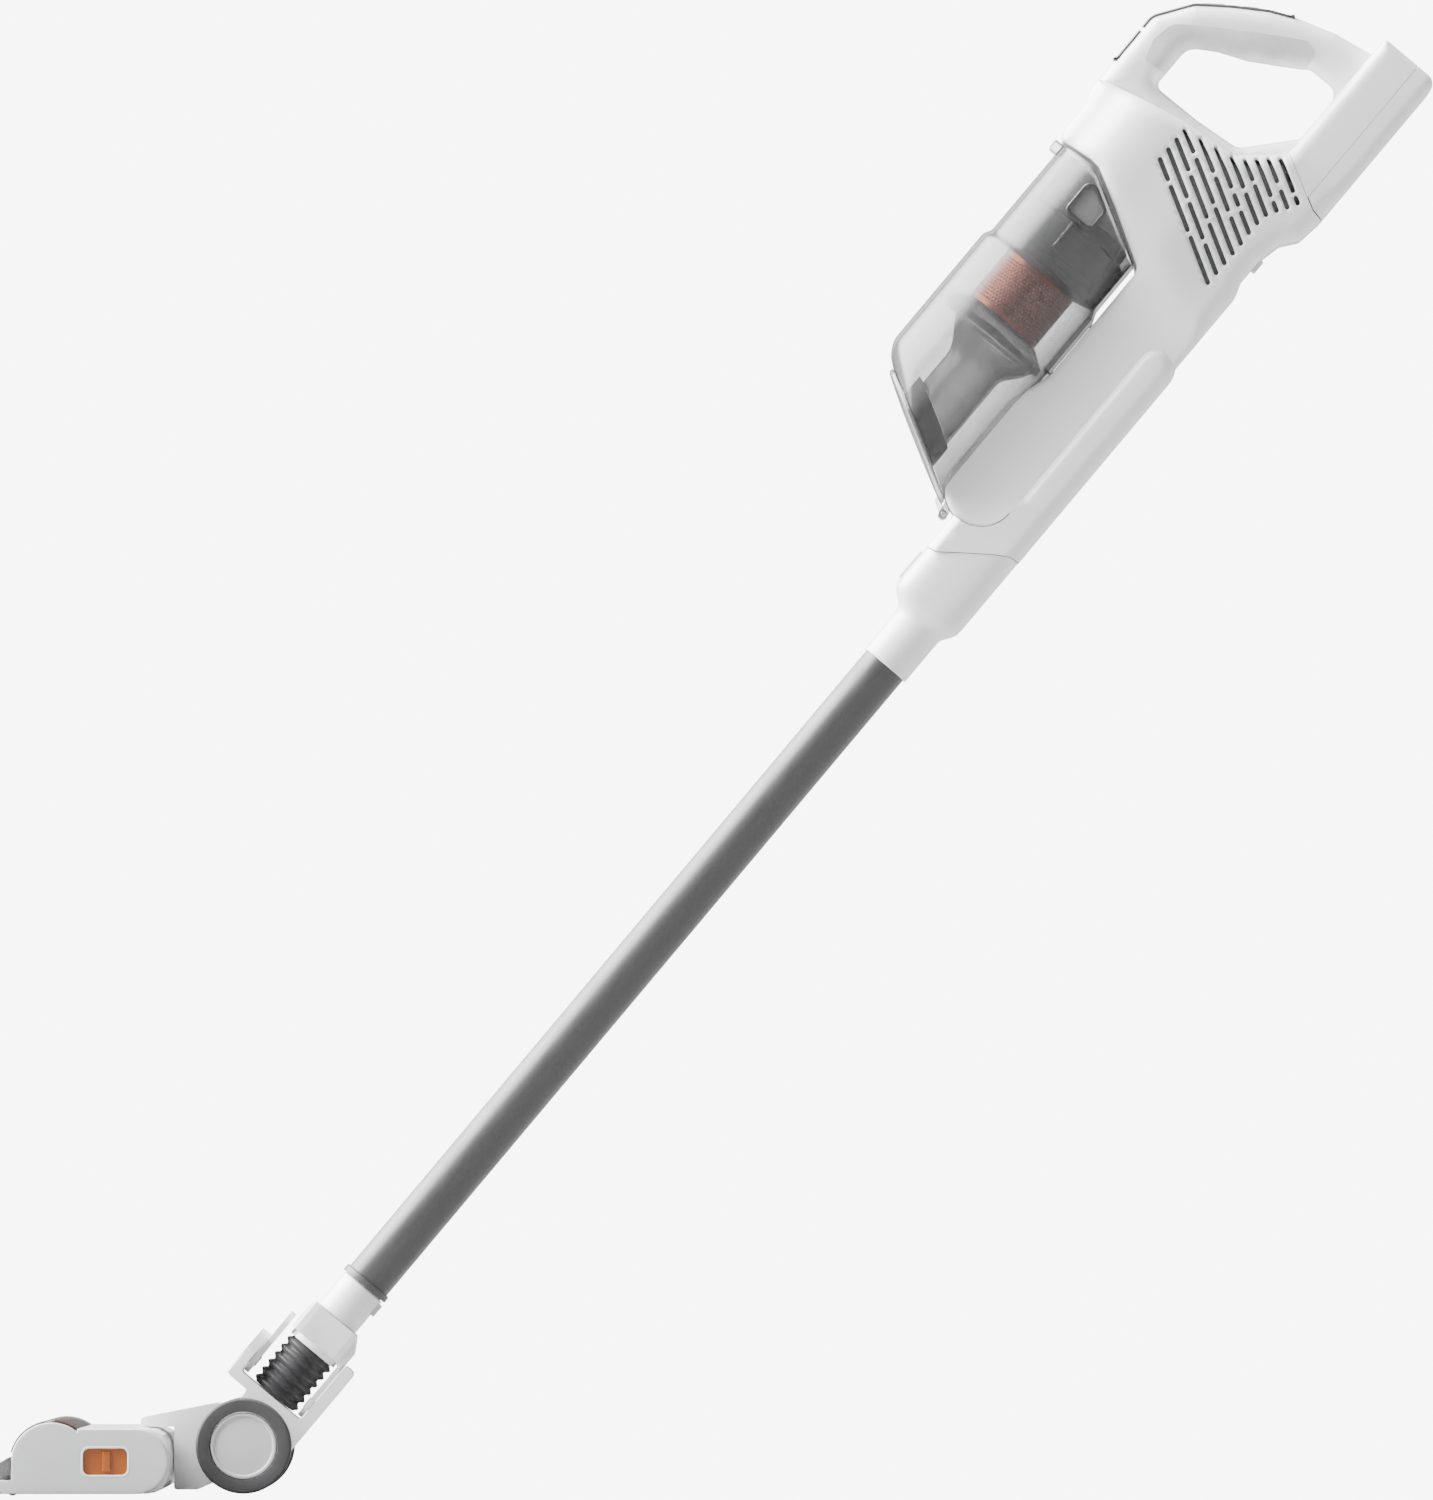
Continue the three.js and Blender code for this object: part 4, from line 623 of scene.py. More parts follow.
LOOP = rounded(
    [
        (-146.3, 333), (-135, 334), (-80, 345), (-45, 349, 10), (-20, 370), (-8, 370), (-8, 470, 3),
        (-20, 464, 4),
        (-48, 459, 4), (-74, 450.5, 10), (-90, 443, 10), (-110, 430, 10), (-130, 415, 10), (-146.5, 391, 12),
    ]
)  # fmt: skip
OPENING = rounded(
    [
        (-115, 357.5, 5), (-115, 391, 12), (-98, 401.5, 8), (-80, 409, 10), (-60, 421, 10),
        (-44, 431, 8), (-20.5, 431, 8), (-20.5, 392, 8), (-48, 361, 10), (-80, 358),
    ]
)  # fmt: skip
GRIP_EDGE = finely(OPENING, 1.5)
GRIP_EDGE = GRIP_EDGE[(GRIP_EDGE[:, 1] > 366) & (GRIP_EDGE[:, 0] < -46.5)][::-1]
GRIP = rounded(
    [
        (-131.5, 365.5, 3), (-135.5, 380, 8), (-132.5, 395, 8), (-110, 411, 10), (-80, 430, 10),
        (-58, 443, 6), (-48, 441, 5),
    ]
    + GRIP_EDGE.tolist()
)
ARM = rounded([(-20, 378.4), (8, 363.4), (8, 476, 0.5), (-20, 476, 3)])
BATTERY = rounded([(8.3, 363.9), (16, 359.9), (24.5, 358.9), (24.5, 476, 8), (8.3, 476, 0.5)])

VENT = {"pitch": 8.35, "slope": -0.543, "half": 1.65, "x": -81.0, "z": 320.0}
VENT_ROWS = [
    [(-81, -69), (-64, -38), (-33, -6)], [(-81, -52.5), (-47.5, -27.5), (-22.5, -6)],
    [(-81, -63), (-58, -34), (-29, -6)],
    [(-81, -68), (-62.5, -37), (-32.5, -6)], [(-69.5, -50), (-45, -26.5), (-21, -6)],
    [(-58, -34.5), (-29, -23.5), (-18.5, -6.5)],
    [(-46.5, -28.5), (-23.5, -6.5)], [(-38.5, -27), (-22.5, -5.5)], [(-33, -11.5), (-6.5, -2)],
    [(-27.5, -14), (-7.5, 2)],
    [(-21.5, -2), (2.5, 5.5)],
]  # fmt: skip


def vent_slot(row, start, end):
    """A slot with round ends along its row's falling line."""
    height = [VENT["z"] + VENT["pitch"] * row + VENT["slope"] * (x - VENT["x"]) for x in (start, end)]
    lean = math.degrees(math.atan(VENT["slope"]))
    tail = arc(start, height[0], VENT["half"], lean + 90, lean + 270, 6)
    return np.array(tail + arc(end, height[1], VENT["half"], lean - 90, lean + 90, 6))


def casing_level(x, z):
    """Half width of the body: round over the bin, straight to the back, slim beside the duct and at the
    arm."""
    turn = np.linspace(145, 75, 12)
    across = [-146.5, FRONT, *(BIN_X + BIN_R * np.cos(np.radians(turn))), -46, -10, 25]
    out = [15, 24, *(BIN_R * np.sin(np.radians(turn))), 43, 34, 30]
    plan = eased(x, across, out, 5.0)
    front = eased(z, [200, 232, 282, 345, 385], [22, 22, 46.5, 46.5, 30], 9.0)
    return -2.0 * np.log(np.exp(-plan / 2.0) + np.exp(-front / 2.0))


def over_bin(x, z):
    """Height of a place above the casing's edge along the bin."""
    return z - (291 - (x + 108) * 0.55)


def casing_width(x, z):
    wide = 12 - 3.0 * (1 - smooth(14, 40, over_bin(x, z)))
    wide = wide + (8 - wide) * smooth(365, 385, z)
    return wide + (5 - wide) * (1 - smooth(225, 262, z))


def casing_fall(x, z):
    deep = 11 - 7.6 * (1 - smooth(14, 40, over_bin(x, z)))
    deep = deep + (8 - deep) * smooth(365, 385, z)
    return deep + (3.6 - deep) * (1 - smooth(225, 262, z))


def floor_line(x):
    """The slanted floor of the bin."""
    return 57 + (-36 - x) * 0.5435


def crown_line(x):
    """The cut along the top of the bin: level at the front, then down to the back."""
    return np.minimum(289.0, 255.6 + (-46.5 - x) * 0.545)


# ---- hand unit: builders ---------------------------------------------------------------------


def build_casing(sizes):
    """Two moulded halves with real slots, a dark sheet just inside them whose colour is painted shade seen through
    the slots, and the screw that holds them.
    """
    slots = [vent_slot(row, *span) for row, spans in enumerate(VENT_ROWS) for span in spans]
    # Painted shade: a dark sheet 3.4 mm inside the casing, behind the vent slots, stands for the shade in them.
    vent_shade_sheet = [
        rounded(
            [
                (-84, 312, 6), (-6, 270, 6), (7, 330, 6), (8, 352, 6), (-20, 371, 4), (-44, 349, 5),
                (-84, 344, 5),
            ]
        )
    ]
    for name, half in (("left", -1), ("right", 1)):
        shell = moulding(
            [CASING], casing_level, casing_width, casing_fall, soft=[SILHOUETTE], slots=slots, step=3.2,
            half=half,
        )
        inner = moulding(
            vent_shade_sheet, casing_level, casing_width, casing_fall, soft=[SILHOUETTE], half=half, seam=12, lift=-3.4
        )
        made = add_piece(
            "casing_" + name, "handheld", ["white_gloss", "vent_dark"], HAND, [shell, inner],
            ["housing_" + name], crease=50,
        )
        wall_in(made, mm(sizes.casing_wall))
    eased_copy("housing_screw", "handheld", "steel", 0.3)


def build_air_path(sizes):
    """Rear duct with its nozzle in one moulding, the connector under it with its key, and the pipe to the
    bin."""
    foot_x, foot_z, foot_radius = FOOT
    round_foot = foot_radius + 0.6
    duct = rounded(
        [
            *[(x, z + 0.5) for x, z in PARTING], (16.5, 215.5), *arc(4, 215.5, 12.5, 10, 180, 16),
            (foot_x + round_foot, foot_z),
        ]
        + [*arc(foot_x, foot_z, round_foot, -10, -98, 16), (-36, 57.4)]
    )
    back = lambda x, z: 7.0 + 4.0 * smooth(-2, 9, x)
    level = lambda x, z: np.minimum(27.0, 27 + (x + 30) * 0.5) + 0 * z
    soft = [
        rounded(
            [
                (-36.2, 20), (16.5, 20), (16.5, 215.5), *arc(4, 215.5, 12.5, 10, 180, 16),
                (-8.5, foot_z + 14), (-36.2, 70),
            ]
        )
    ]
    shape = moulding([duct], level, back, soft=soft, step=3.4)
    add_piece("duct_and_nozzle", "handheld", "white_gloss", HAND, shape, ["rear_duct"], crease=50)
    add_piece("connector", "wand", "white_gloss", HAND, connector_surface(), ["wand_connector"], crease=50)
    key = moulding([rounded(oblong(5, 27, -8, 8, 2.5), 6)], 2.0, 1.2, step=2.5)
    place = HAND.shifted(x=-35.9, turned=((0, 0, 1), (-1, 0, 0), (0, 1, 0)))
    add_piece("wand_key", "wand_button", "soft_grey", place, key, ["wand_button"])
    eased_copy("port_pipe", "handheld", "dark_plastic", 0.4)


def connector_surface():
    """Sections of |x/a|^n + |y/b|^n = 1 from the round collar up to the nozzle's rounded oblong. Each
    section's points rise towards the parting line above their own x, and the mouth folds into the bore for
    the tube."""
    angle = np.arange(72) / 72 * 2 * math.pi
    rise = np.array([-45, -45, -44.6, -44, -16, -11, -9, -6, -3, 0, 4, 12, 20, 26, 31, 31.4])
    grown = smooth(-12, 2, rise)[:, None]
    collar, nozzle = 17.1, 26.15
    half_x, half_y = collar + (nozzle - collar) * grown, collar + (26.6 - collar) * grown
    middle = WAND_X + (-9.85 - WAND_X) * grown
    tuck = np.array([1.4, 0.6, 0.15, 0, 0, 0, 0, 0, 0, 0, 0, 0, 0, 0, 0, 0.7])[:, None]
    power = 2 / (2 + 1.6 * grown)
    x = middle + (half_x - tuck) * np.sign(np.cos(angle)) * np.abs(np.cos(angle)) ** power
    y = (half_y - tuck) * np.sign(np.sin(angle)) * np.abs(np.sin(angle)) ** power
    parting = np.interp(x, *np.array(PARTING).T)
    share = smooth(-4, 31, rise)[:, None] ** 1.2
    z = rise[:, None] + share * np.maximum(parting - 31, 0)
    outside = np.stack([x, y, np.minimum(z, parting)], -1)
    bore = np.array([(15.9, -45), (15.9, -14.5)])
    mouth = np.stack(
        [WAND_X + bore[:, :1] * np.cos(angle), bore[:, :1] * np.sin(angle), bore[:, 1:] + 0 * angle], -1
    )
    return loft(np.concatenate([mouth[::-1], outside]))


def build_handle(sizes):
    """Handle loop and rear arm in one piece, the soft grip let into it, and the control strip with its two
    keys."""
    fillet = mm(sizes.handle_fillet)
    half = 15.0
    loop = moulding([LOOP, OPENING], half, fillet, step=3.0)
    arm = moulding([ARM], casing_level, casing_width, casing_fall, soft=[SILHOUETTE], step=3.4)
    add_piece(
        "handle_and_arm", "handheld", "white_gloss", HAND, gathered(loop, arm), ["handle_frame"], crease=50
    )
    region = moulding([GRIP], lambda x, z: half + 0 * x, fillet, soft=[LOOP, OPENING], lift=0.5, step=2.6)
    add_piece("soft_grip_sleeve", "handheld", "grip", HAND, region, ["soft_grip"], crease=60)
    strip_path = finely(LOOP, 3.0)
    keep = (strip_path[:, 0] < -74) & (strip_path[:, 1] > np.where(strip_path[:, 0] < -140, 352, 400))
    run = strip_path[keep]
    run = run[np.argsort(np.arctan2(run[:, 1] - 380, run[:, 0] + 95))[::-1]]
    add_piece("control_strip_band", "handheld", "dark_plastic", HAND, strip_surface(run), ["control_strip"])
    for node, x, z, tilt, length in (
        ("power_button", -120, 422.5, 36.9, 15), ("mode_button", -100, 436.5, 33.0, 11)
    ):
        c, s = math.cos(math.radians(tilt)), math.sin(math.radians(tilt))
        place = HAND.shifted(x, 0, z, ((c, 0, s), (s, 0, -c), (0, 1, 0)))
        key = moulding([rounded(oblong(-length / 2, length / 2, -5, 5, 2.4), 6)], 1.15, 0.7, step=1.6)
        add_piece(node + "_cap", node, "soft_grey", place, key, [node])


def strip_surface(path):
    """The control strip: a thin band laid along the handle's back, a little proud of it, with softened
    edges."""
    return swept(path, -2.0, 1.0, 9.0, 2.3, 0.7)


def build_battery(sizes):
    """Battery cover in line with the arm and its release key; the six cells behind it are finished with the inner
    works.
    """
    cover = moulding([BATTERY], casing_level, casing_width, casing_fall, soft=[SILHOUETTE], step=3.4)
    add_piece("battery_back", "battery", "white_gloss", HAND, cover, ["battery_cover"], crease=50)
    key = moulding([rounded(oblong(305.3, 314.7, -7.7, 7.7, 1.5), 5)], 3.0, 0.9, step=2.0)
    add_piece(
        "battery_key", "battery_release", "soft_grey",
        HAND.shifted(x=9.9, turned=((0, 0, 1), (-1, 0, 0), (0, 1, 0))), key, ["battery_release"],
    )


def bin_reach(inset):
    """Radius of the bin at a height and angle: the shoulder's S-curve from the lower to the upper radius,
    and a quarter circle taken off where the front runs into the slanted floor."""

    def reach(z, angle):
        radius = BIN_R + (UPPER_R - BIN_R) * smooth(211, 219, z) - inset
        front = smooth(0.0, 0.85, -np.cos(angle))
        above = np.clip(z - floor_line(BIN_X + BIN_R * np.cos(angle)), 0, 12)
        return radius - front * (12 - np.sqrt(144 - (12 - above) ** 2))

    return reach


def build_bin(sizes):
    """Clear dust cup with its lip, hinge ears and ribs; the port frame; the side keys; the hinged door
    with its pad and pin."""
    wall = mm(sizes.bin_wall)
    shares = np.concatenate([np.linspace(0, 0.1, 14)[:-1], np.linspace(0.1, 1, 76)]).tolist()
    cup = drum(walled(shares, wall), BIN_X, bin_reach(0.0), floor_line, crown_line, 120)
    points, faces = cup
    middle = points[np.array(faces)].mean(1)
    port = (middle[:, 0] > -60) & (np.abs(middle[:, 1]) < 10.5) & (middle[:, 2] > 173) & (middle[:, 2] < 210)
    cup = (points, [face for face, cut in zip(faces, port) if not cut])
    lip = moulding(
        [rounded([(-142.3, 282, 1.5), (-135.5, 282), (-135.5, 289), (-142.3, 289, 1.5)])], 11.8, 0.8, step=2.0
    )
    ear = rounded(
        [
            (-49, 74, 1), (-44.5, 74, 1), (-38.9, 57.5, 1), (-38.9, 51.5, 2), (-44.1, 51.5, 2), (-45.5, 60),
            (-47.2, 64.5),
        ]
    )
    ears = [moulding([ear], 1.4, 0.4, middle=side * 9.5, step=2.0) for side in (-1, 1)]
    rib = rounded(oblong(-98.7, -97.3, 232, 253, 0.6), 4)
    ribs = [moulding([rib], 0.7, 0.5, middle=side * 43.4, step=2.0) for side in (-1, 1)]
    add_piece(
        "dust_cup", "dust_bin", "smoke", HAND, gathered(cup, lip, *ears, *ribs), ["bin_shell"], crease=45
    )
    outer = rounded(oblong(-14, 14, 169.5, 213.5, 1.5), 5)
    hole = rounded(oblong(-10, 10, 176, 207, 2), 5)
    place = HAND.shifted(x=-49.6, turned=((0, 1, 0), (-1, 0, 0), (0, 0, 1)))
    add_piece(
        "port_frame", "dust_bin", "white_gloss", place, moulding([outer, hole], 2.7, 0.8, step=2.5),
        ["bin_port_frame"],
    )
    edge = rounded([(-108, 254, 5), (-85, 254, 5), (-85, 272, 5), (-108, 284.5, 6)])
    eye = rounded([(-105.4, 256.6, 3.4), (-87.6, 256.6, 3.4), (-87.6, 270.6, 3.4), (-105.4, 280.4, 4)])
    filling = rounded([(-105.6, 256.4, 3.4), (-87.4, 256.4, 3.4), (-87.4, 270.8, 3.4), (-105.6, 280.6, 4)])
    for name, side in (("left", -1), ("right", 1)):
        ring = moulding([edge, eye], 1.8, 0.8, middle=side * 43.6, step=2.0)
        plate = moulding([filling], 3.0, 0.5, middle=side * 40.6, step=2.5)
        add_piece(
            "bin_key_" + name, "bin_button_" + name, ["lens", "holder"], HAND, [ring, plate],
            ["bin_button_" + name],
        )
    rows = solid_rows([0.15, 0.5, 0.85], 0.9)
    lid_reach = lambda z, angle: BIN_R - 0.1 - 11.2 * smooth(0.0, 0.85, -np.cos(angle)) + 0 * z
    lid = drum(rows, BIN_X, lid_reach, lambda x: floor_line(x) - 3.8, lambda x: floor_line(x) - 0.4, 120)
    knuckle = turned([(1.9, -7.3, 0.4), (3, -7.3, 0.4), (3, 7.3, 0.4), (1.9, 7.3, 0.4)], segments=24)
    knuckle = (knuckle[0] @ np.array(SIDEWAYS) + np.array(DOOR_PIN), knuckle[1])
    leaf = moulding(
        [rounded([(-52, 61.5), (-42.5, 57.3), (-41.5, 54), (-44, 53.8), (-52, 59)])], 7.0, 0.5, step=2.0
    )
    add_piece("door_leaf", "bin_door", "smoke", HAND, gathered(lid, knuckle, leaf), ["bin_door"], crease=45)
    pad = drum(
        solid_rows([0.03, 0.2, 0.24, 0.8, 0.96], 0.9), BIN_X + 4, lambda z, angle: 22.3 + 0 * z + 0 * angle,
        lambda x: floor_line(x) + 0.3, lambda x: floor_line(x) + 16.4, 96,
    )
    add_piece("door_pad", "bin_door", "black_rubber", HAND, pad, ["door_seal"])
    eased_copy("door_pin", "dust_bin", "steel", 0.2)


def perforated(radius, low, high, columns, rows):
    """A drum of holes: each cell is a square ring of eight corners round an octagonal hole, odd rows half
    a cell on, and the flat sheet (along, up) is wrapped on to the cylinder."""
    turn = np.radians(np.arange(8) * 45.0)
    hole = np.stack([np.cos(turn), np.sin(turn)], 1) * 0.27
    square = np.array(
        [(0.5, 0), (0.5, 0.5), (0, 0.5), (-0.5, 0.5), (-0.5, 0), (-0.5, -0.5), (0, -0.5), (0.5, -0.5)]
    )
    column, row = (grid.ravel()[:, None, None] for grid in np.meshgrid(np.arange(columns), np.arange(rows)))
    corners = np.concatenate([square, hole])[None]
    along = (corners[..., 0] + column[..., 0] + 0.5 * (row[..., 0] % 2)) / columns * 2 * math.pi
    height = low + (corners[..., 1] + 0.5 + row[..., 0]) / rows * (high - low)
    points = np.stack([BIN_X + radius * np.cos(along), radius * np.sin(along), height], -1)
    ring = np.arange(8)
    quad = np.stack([ring, (ring + 1) % 8, (ring + 1) % 8 + 8, ring + 8], 1)
    faces = quad[None] + (np.arange(columns * rows) * 16)[:, None, None]
    return points.reshape(-1, 3), faces.reshape(-1, 4).tolist()


def build_cyclone(sizes):
    """What stands inside the bin: holder with ridges, inner sleeve, perforated screen with its bands,
    filter, flange and the cone with its tube."""
    holder = turned(
        [
            (23.2, 214.6), (40.4, 219, 0.8), (40.7, 224, 0.3), (39.9, 225, 0.3), (40.7, 226, 0.3),
            (40.7, 229, 0.3), (39.9, 230, 0.3), (40.7, 231, 0.3),
        ]
        + [
            (40.7, 250, 1), (31, 255, 1), (31, 262, 1), (26, 262, 0.6), (26, 250), (40.2, 247),
            (40.2, 221.5, 1), (23.2, 218),
        ],
        BIN_X, 96,
    )  # fmt: skip
    add_piece("filter_holder", "dust_bin", "holder", HAND, holder, ["shroud_holder"])
    sleeve = drum(
        walled(np.linspace(0, 1, 12).tolist(), 0.9), BIN_X, lambda z, angle: 35.2 + 0 * z + 0 * angle,
        lambda x: 250.4 + 0 * x, lambda x: crown_line(x) - 1.2, 96,
    )
    add_piece("inner_sleeve", "dust_bin", "flange", HAND, sleeve)
    screen = add_piece(
        "copper_screen", "dust_bin", "mesh", HAND, perforated(27.1, 179.5, 211.5, 64, 14), ["mesh_screen"]
    )
    wall_in(screen, 0.7)
    bands = [
        turned(
            [(26.3, low, 0.2), (27.2, low, 0.3), (27.2, low + 4, 0.3), (26.3, low + 4, 0.2)], BIN_X, 96
        ) for low in (175.7, 210.9)
    ]
    add_piece("screen_bands", "dust_bin", "mesh", HAND, gathered(*bands))
    pleats = turned(
        [(0.2, 176.5), (21.5, 176.5, 1), (21.5, 212.5, 1), (0.2, 212.5)], BIN_X, 144,
        swell=lambda r, z, a: np.where(r > 10, 0.55 * np.sin(a * 36), 0),
    )
    add_piece("filter_core", "dust_bin", "foam", HAND, pleats, ["filter_cartridge"])
    flange = turned(
        [
            (0.2, 170), (36, 166.2, 2), (38.2, 162, 0.5), (40, 162.2, 0.7), (40, 167, 1.6), (29.2, 175, 0.6),
            (0.2, 175),
        ],
        BIN_X, 96,
    )
    add_piece("flange_disc", "dust_bin", "flange", HAND, flange, ["shroud_flange"])
    reach = lambda z, angle: 19 + 12.3 * smooth(140, 163, z) + 0 * angle
    cone = drum(
        walled(np.linspace(0, 1, 46).tolist(), 1.6), BIN_X + 5, reach, lambda x: floor_line(x) + 16.9,
        lambda x: 161.4 + 0 * x, 96,
    )
    add_piece("cone_and_tube", "dust_bin", "smoke", HAND, cone, ["shroud_cone"])


# ---- wand and swivel ---------------------------------------------------------------------------


def build_wand(sizes):
    """Painted wand tube with four shallow lines along its front, and the collar at its foot."""
    past = lambda a, d: (a - math.radians(d) + math.pi) % (2 * math.pi) - math.pi
    lines = lambda a: sum(np.exp(-((past(a, d) / 0.035) ** 2)) for d in (150, 162, 198, 210))
    groove = lambda r, z, a: -0.35 * np.where(r > 15, lines(a), 0)
    low, top = TUBE_FOOT, TUBE_FOOT + TUBE_LONG
    rises = [(15.5, low + step * 46.4) for step in range(1, 12)]
    tube = turned(
        [(14.3, low, 0.1), (15.5, low, 0.4), *rises, (15.5, top, 0.4), (14.3, top, 0.1)], WAND_X, 180, 4,
        groove,
    )
    add_piece("tube", "wand", "wand_tube", STICK, tube, ["wand_tube"], crease=60)
    collar = turned(
        [(15.9, low, 0.2), (17.3, low, 0.6), (17.3, low + 4.6, 0.9), (15.9, low + 4.6, 0.2)], WAND_X, 96
    )
    add_piece("tube_foot_collar", "wand", "dark_plastic", STICK, collar, ["tube_collar"])


def build_swivel(sizes):
    """Neck tube, swivel housing, corrugated hose and the yoke on the axle."""
    neck = turned(
        [
            (12.4, 101.4), (15.5, 101.4, 0.6), (15.5, 128, 0.8), (14, 128, 0.2), (14, 164, 0.8),
            (12.4, 164, 0.2),
        ],
        WAND_X, 96,
    )
    add_piece("neck_sleeve", "neck", "white_gloss", STICK, neck, ["neck_tube"])
    eased_copy("neck_button", "neck_button", "soft_grey", 0.8)
    eased_copy("swivel_housing", "neck", "white_gloss", 1.4, 28)
    eased_copy("yoke", "yoke", "white_gloss", 1.6, 28)
    long = 38.4  # length of the hose
    wave = lambda r, z, a: np.where(
        r > 14, -1.25 - 1.25 * np.cos((z - HOSE_FOOT) / long * HOSE_RIBS * 2 * math.pi), 0
    ) + 0 * a
    rises = [(17.9, HOSE_FOOT + long * step / 84) for step in range(1, 84)]
    hose = turned(
        [(13.8, HOSE_FOOT), (17.9, HOSE_FOOT), *rises, (17.9, HOSE_TOP), (13.8, HOSE_TOP)], HOSE_X, 72, 1,
        wave,
    )
    made = add_piece("ribbed_hose", None, "black_rubber", STICK, hose, crease=70, ride=False)
    tuple(STICK([HOSE_X, 0, 38]))
    tuple(STICK([HOSE_X, 0, 73]))
    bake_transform(made)
    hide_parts("swivel_hose")
    for node in ("pivot_pin_front", "pivot_pin_rear"):
        eased_copy(node, "yoke", "steel", 0.4)


# ---- wheels and head ------------------------------------------------------------------------------


def build_wheels(sizes):
    """Treaded tyres on dished hubs, and the small front rollers."""
    tread = lambda r, z, a: -0.45 * np.where(
        (r > 30.2) & (np.abs(z) < 5.5), 0.5 + 0.5 * np.tanh(6 * (np.sin(a * 40 + z * 0.7) - 0.75)), 0
    )
    rises = [(31, -5.8 + step * 1.45) for step in range(9)]
    tyre = turned(
        [
            (22, -7, 0.3), (29.6, -7, 0.6), (30.9, -6.2, 0.6), *rises, (30.9, 6.2, 0.6), (29.6, 7, 0.6),
            (22, 7, 0.3),
        ],
        0, 240, 4, tread,
    )
    hub = turned(
        [
            (4.3, -6.3), (16, -6.3, 1), (20.4, -6.4, 0.8), (21.6, -5.4, 0.5), (21.6, 5.4, 0.5),
            (20.9, 6.4, 0.3), (19.6, 6.4, 0.4), (18.6, 5.3, 0.6), (8, 5.9, 3), (0.3, 6.0), (0.3, 4.8),
            (4.3, 4.6),
        ],
        0, 96,
    )
    for name, side in (("left", -1), ("right", 1)):
        place = HEAD.shifted(y=side * 41, turned=((1, 0, 0), (0, 0, -side), (0, side, 0)))
        add_piece("tyre_tread_" + name, "wheel_" + name, "tyre", place, tyre, ["tyre_" + name], crease=35)
        add_piece("hub_disc_" + name, "wheel_" + name, "hub", place, hub, ["wheel_hub_" + name])
        roller = turned([(0.2, -2.6), (3.5, -2.6, 0.8), (3.5, 2.6, 0.8), (0.2, 2.6)], 0, 40)
        place = HEAD.shifted(-146, side * 114.7, -27.5, SIDEWAYS)
        add_piece(
            "roller_" + name, "front_roller_" + name, "dark_plastic", place, roller, ["front_roller_" + name]
        )


LATCH = rounded(oblong(-100.5, -72, -17.5, -0.5, 4))


def build_head(sizes):
    """Side panels with a round rear end, the latch and its rim, tinted brush roof, lens, bumper, white
    cover, carriage, sole and axle."""
    side = rounded(
        [
            (-158.5, -20.8, 0.8), (-158.5, -27.3, 2), (-150.5, -29.8, 2), (-46, -29.8, 20.8), (-46, 12, 20.8),
            (-104.5, 12, 1),
        ]
        + [*arc(BRUSH_X, BRUSH_Z, 26, 50, 167, 24), (-146.9, -20.8)]
    )
    for name, sign in (("left", -1), ("right", 1)):
        lines = [side, LATCH] if sign < 0 else [side]
        slab = moulding(lines, 3.0, 0.9 if sign < 0 else 1.2, middle=sign * 122, step=3.2)
        add_piece("panel_" + name, "head", "panel_grey", HEAD, slab, ["side_panel_" + name])
    rim = moulding([rounded(oblong(-102, -70.5, -19, 1, 5.2)), LATCH], 0.62, 0.5, middle=-124.6, step=2.0)
    add_piece("latch_rim", "head", "white_gloss", HEAD, rim)
    plate = moulding([rounded(oblong(-102, -64.4, -19, 1))], 0.95, 0.4, middle=-121.7, step=3.0)
    ridge = moulding([rounded(oblong(-88.2, -82.8, -15.6, -2.4, 1))], 1.1, 0.9, middle=-123.3, step=1.4)
    add_piece("latch_slide", "brush_latch", "orange", HEAD, gathered(plate, ridge), ["brush_latch"])
    band = np.array(arc(BRUSH_X, BRUSH_Z, 27.4, 48, 165, 40) + arc(BRUSH_X, BRUSH_Z, 25.6, 165, 48, 40))
    add_piece(
        "brush_roof", "head", "brush_window", HEAD, moulding([band], 118.6, 0.5, step=3.0), ["brush_window"]
    )
    glass = rounded([(-158.4, -11.5, 1), (-158.4, -20.4, 1), (-147.3, -20.4), (-147.3, -5.6, 1)])
    add_piece(
        "front_glass", "head", "lens", HEAD,
        moulding([glass], lambda x, z: 121.5 + 3.4 * smooth(-158, -150, x) + 0 * z, 0.8, step=3.0),
        ["front_lens"],
    )
    bumper = rounded([(-158.3, -27.2, 1.5), (-150.2, -27.2), (-150.2, -20.9, 0.5), (-158.3, -20.9, 1)])
    add_piece(
        "bumper_bar", "head", "white_gloss", HEAD, moulding([bumper], 118.5, 1.0, step=3.0), ["front_bumper"]
    )
    for node, finish, edge in (
        ("head_cover", "white_gloss", 0.9), ("carriage", "white_gloss", 1.2),
        ("sole_plate", "dark_plastic", 0.5),
    ):
        eased_copy(node, "head", finish, edge, 28)
    eased_copy("axle", "head", "steel", 0.5)


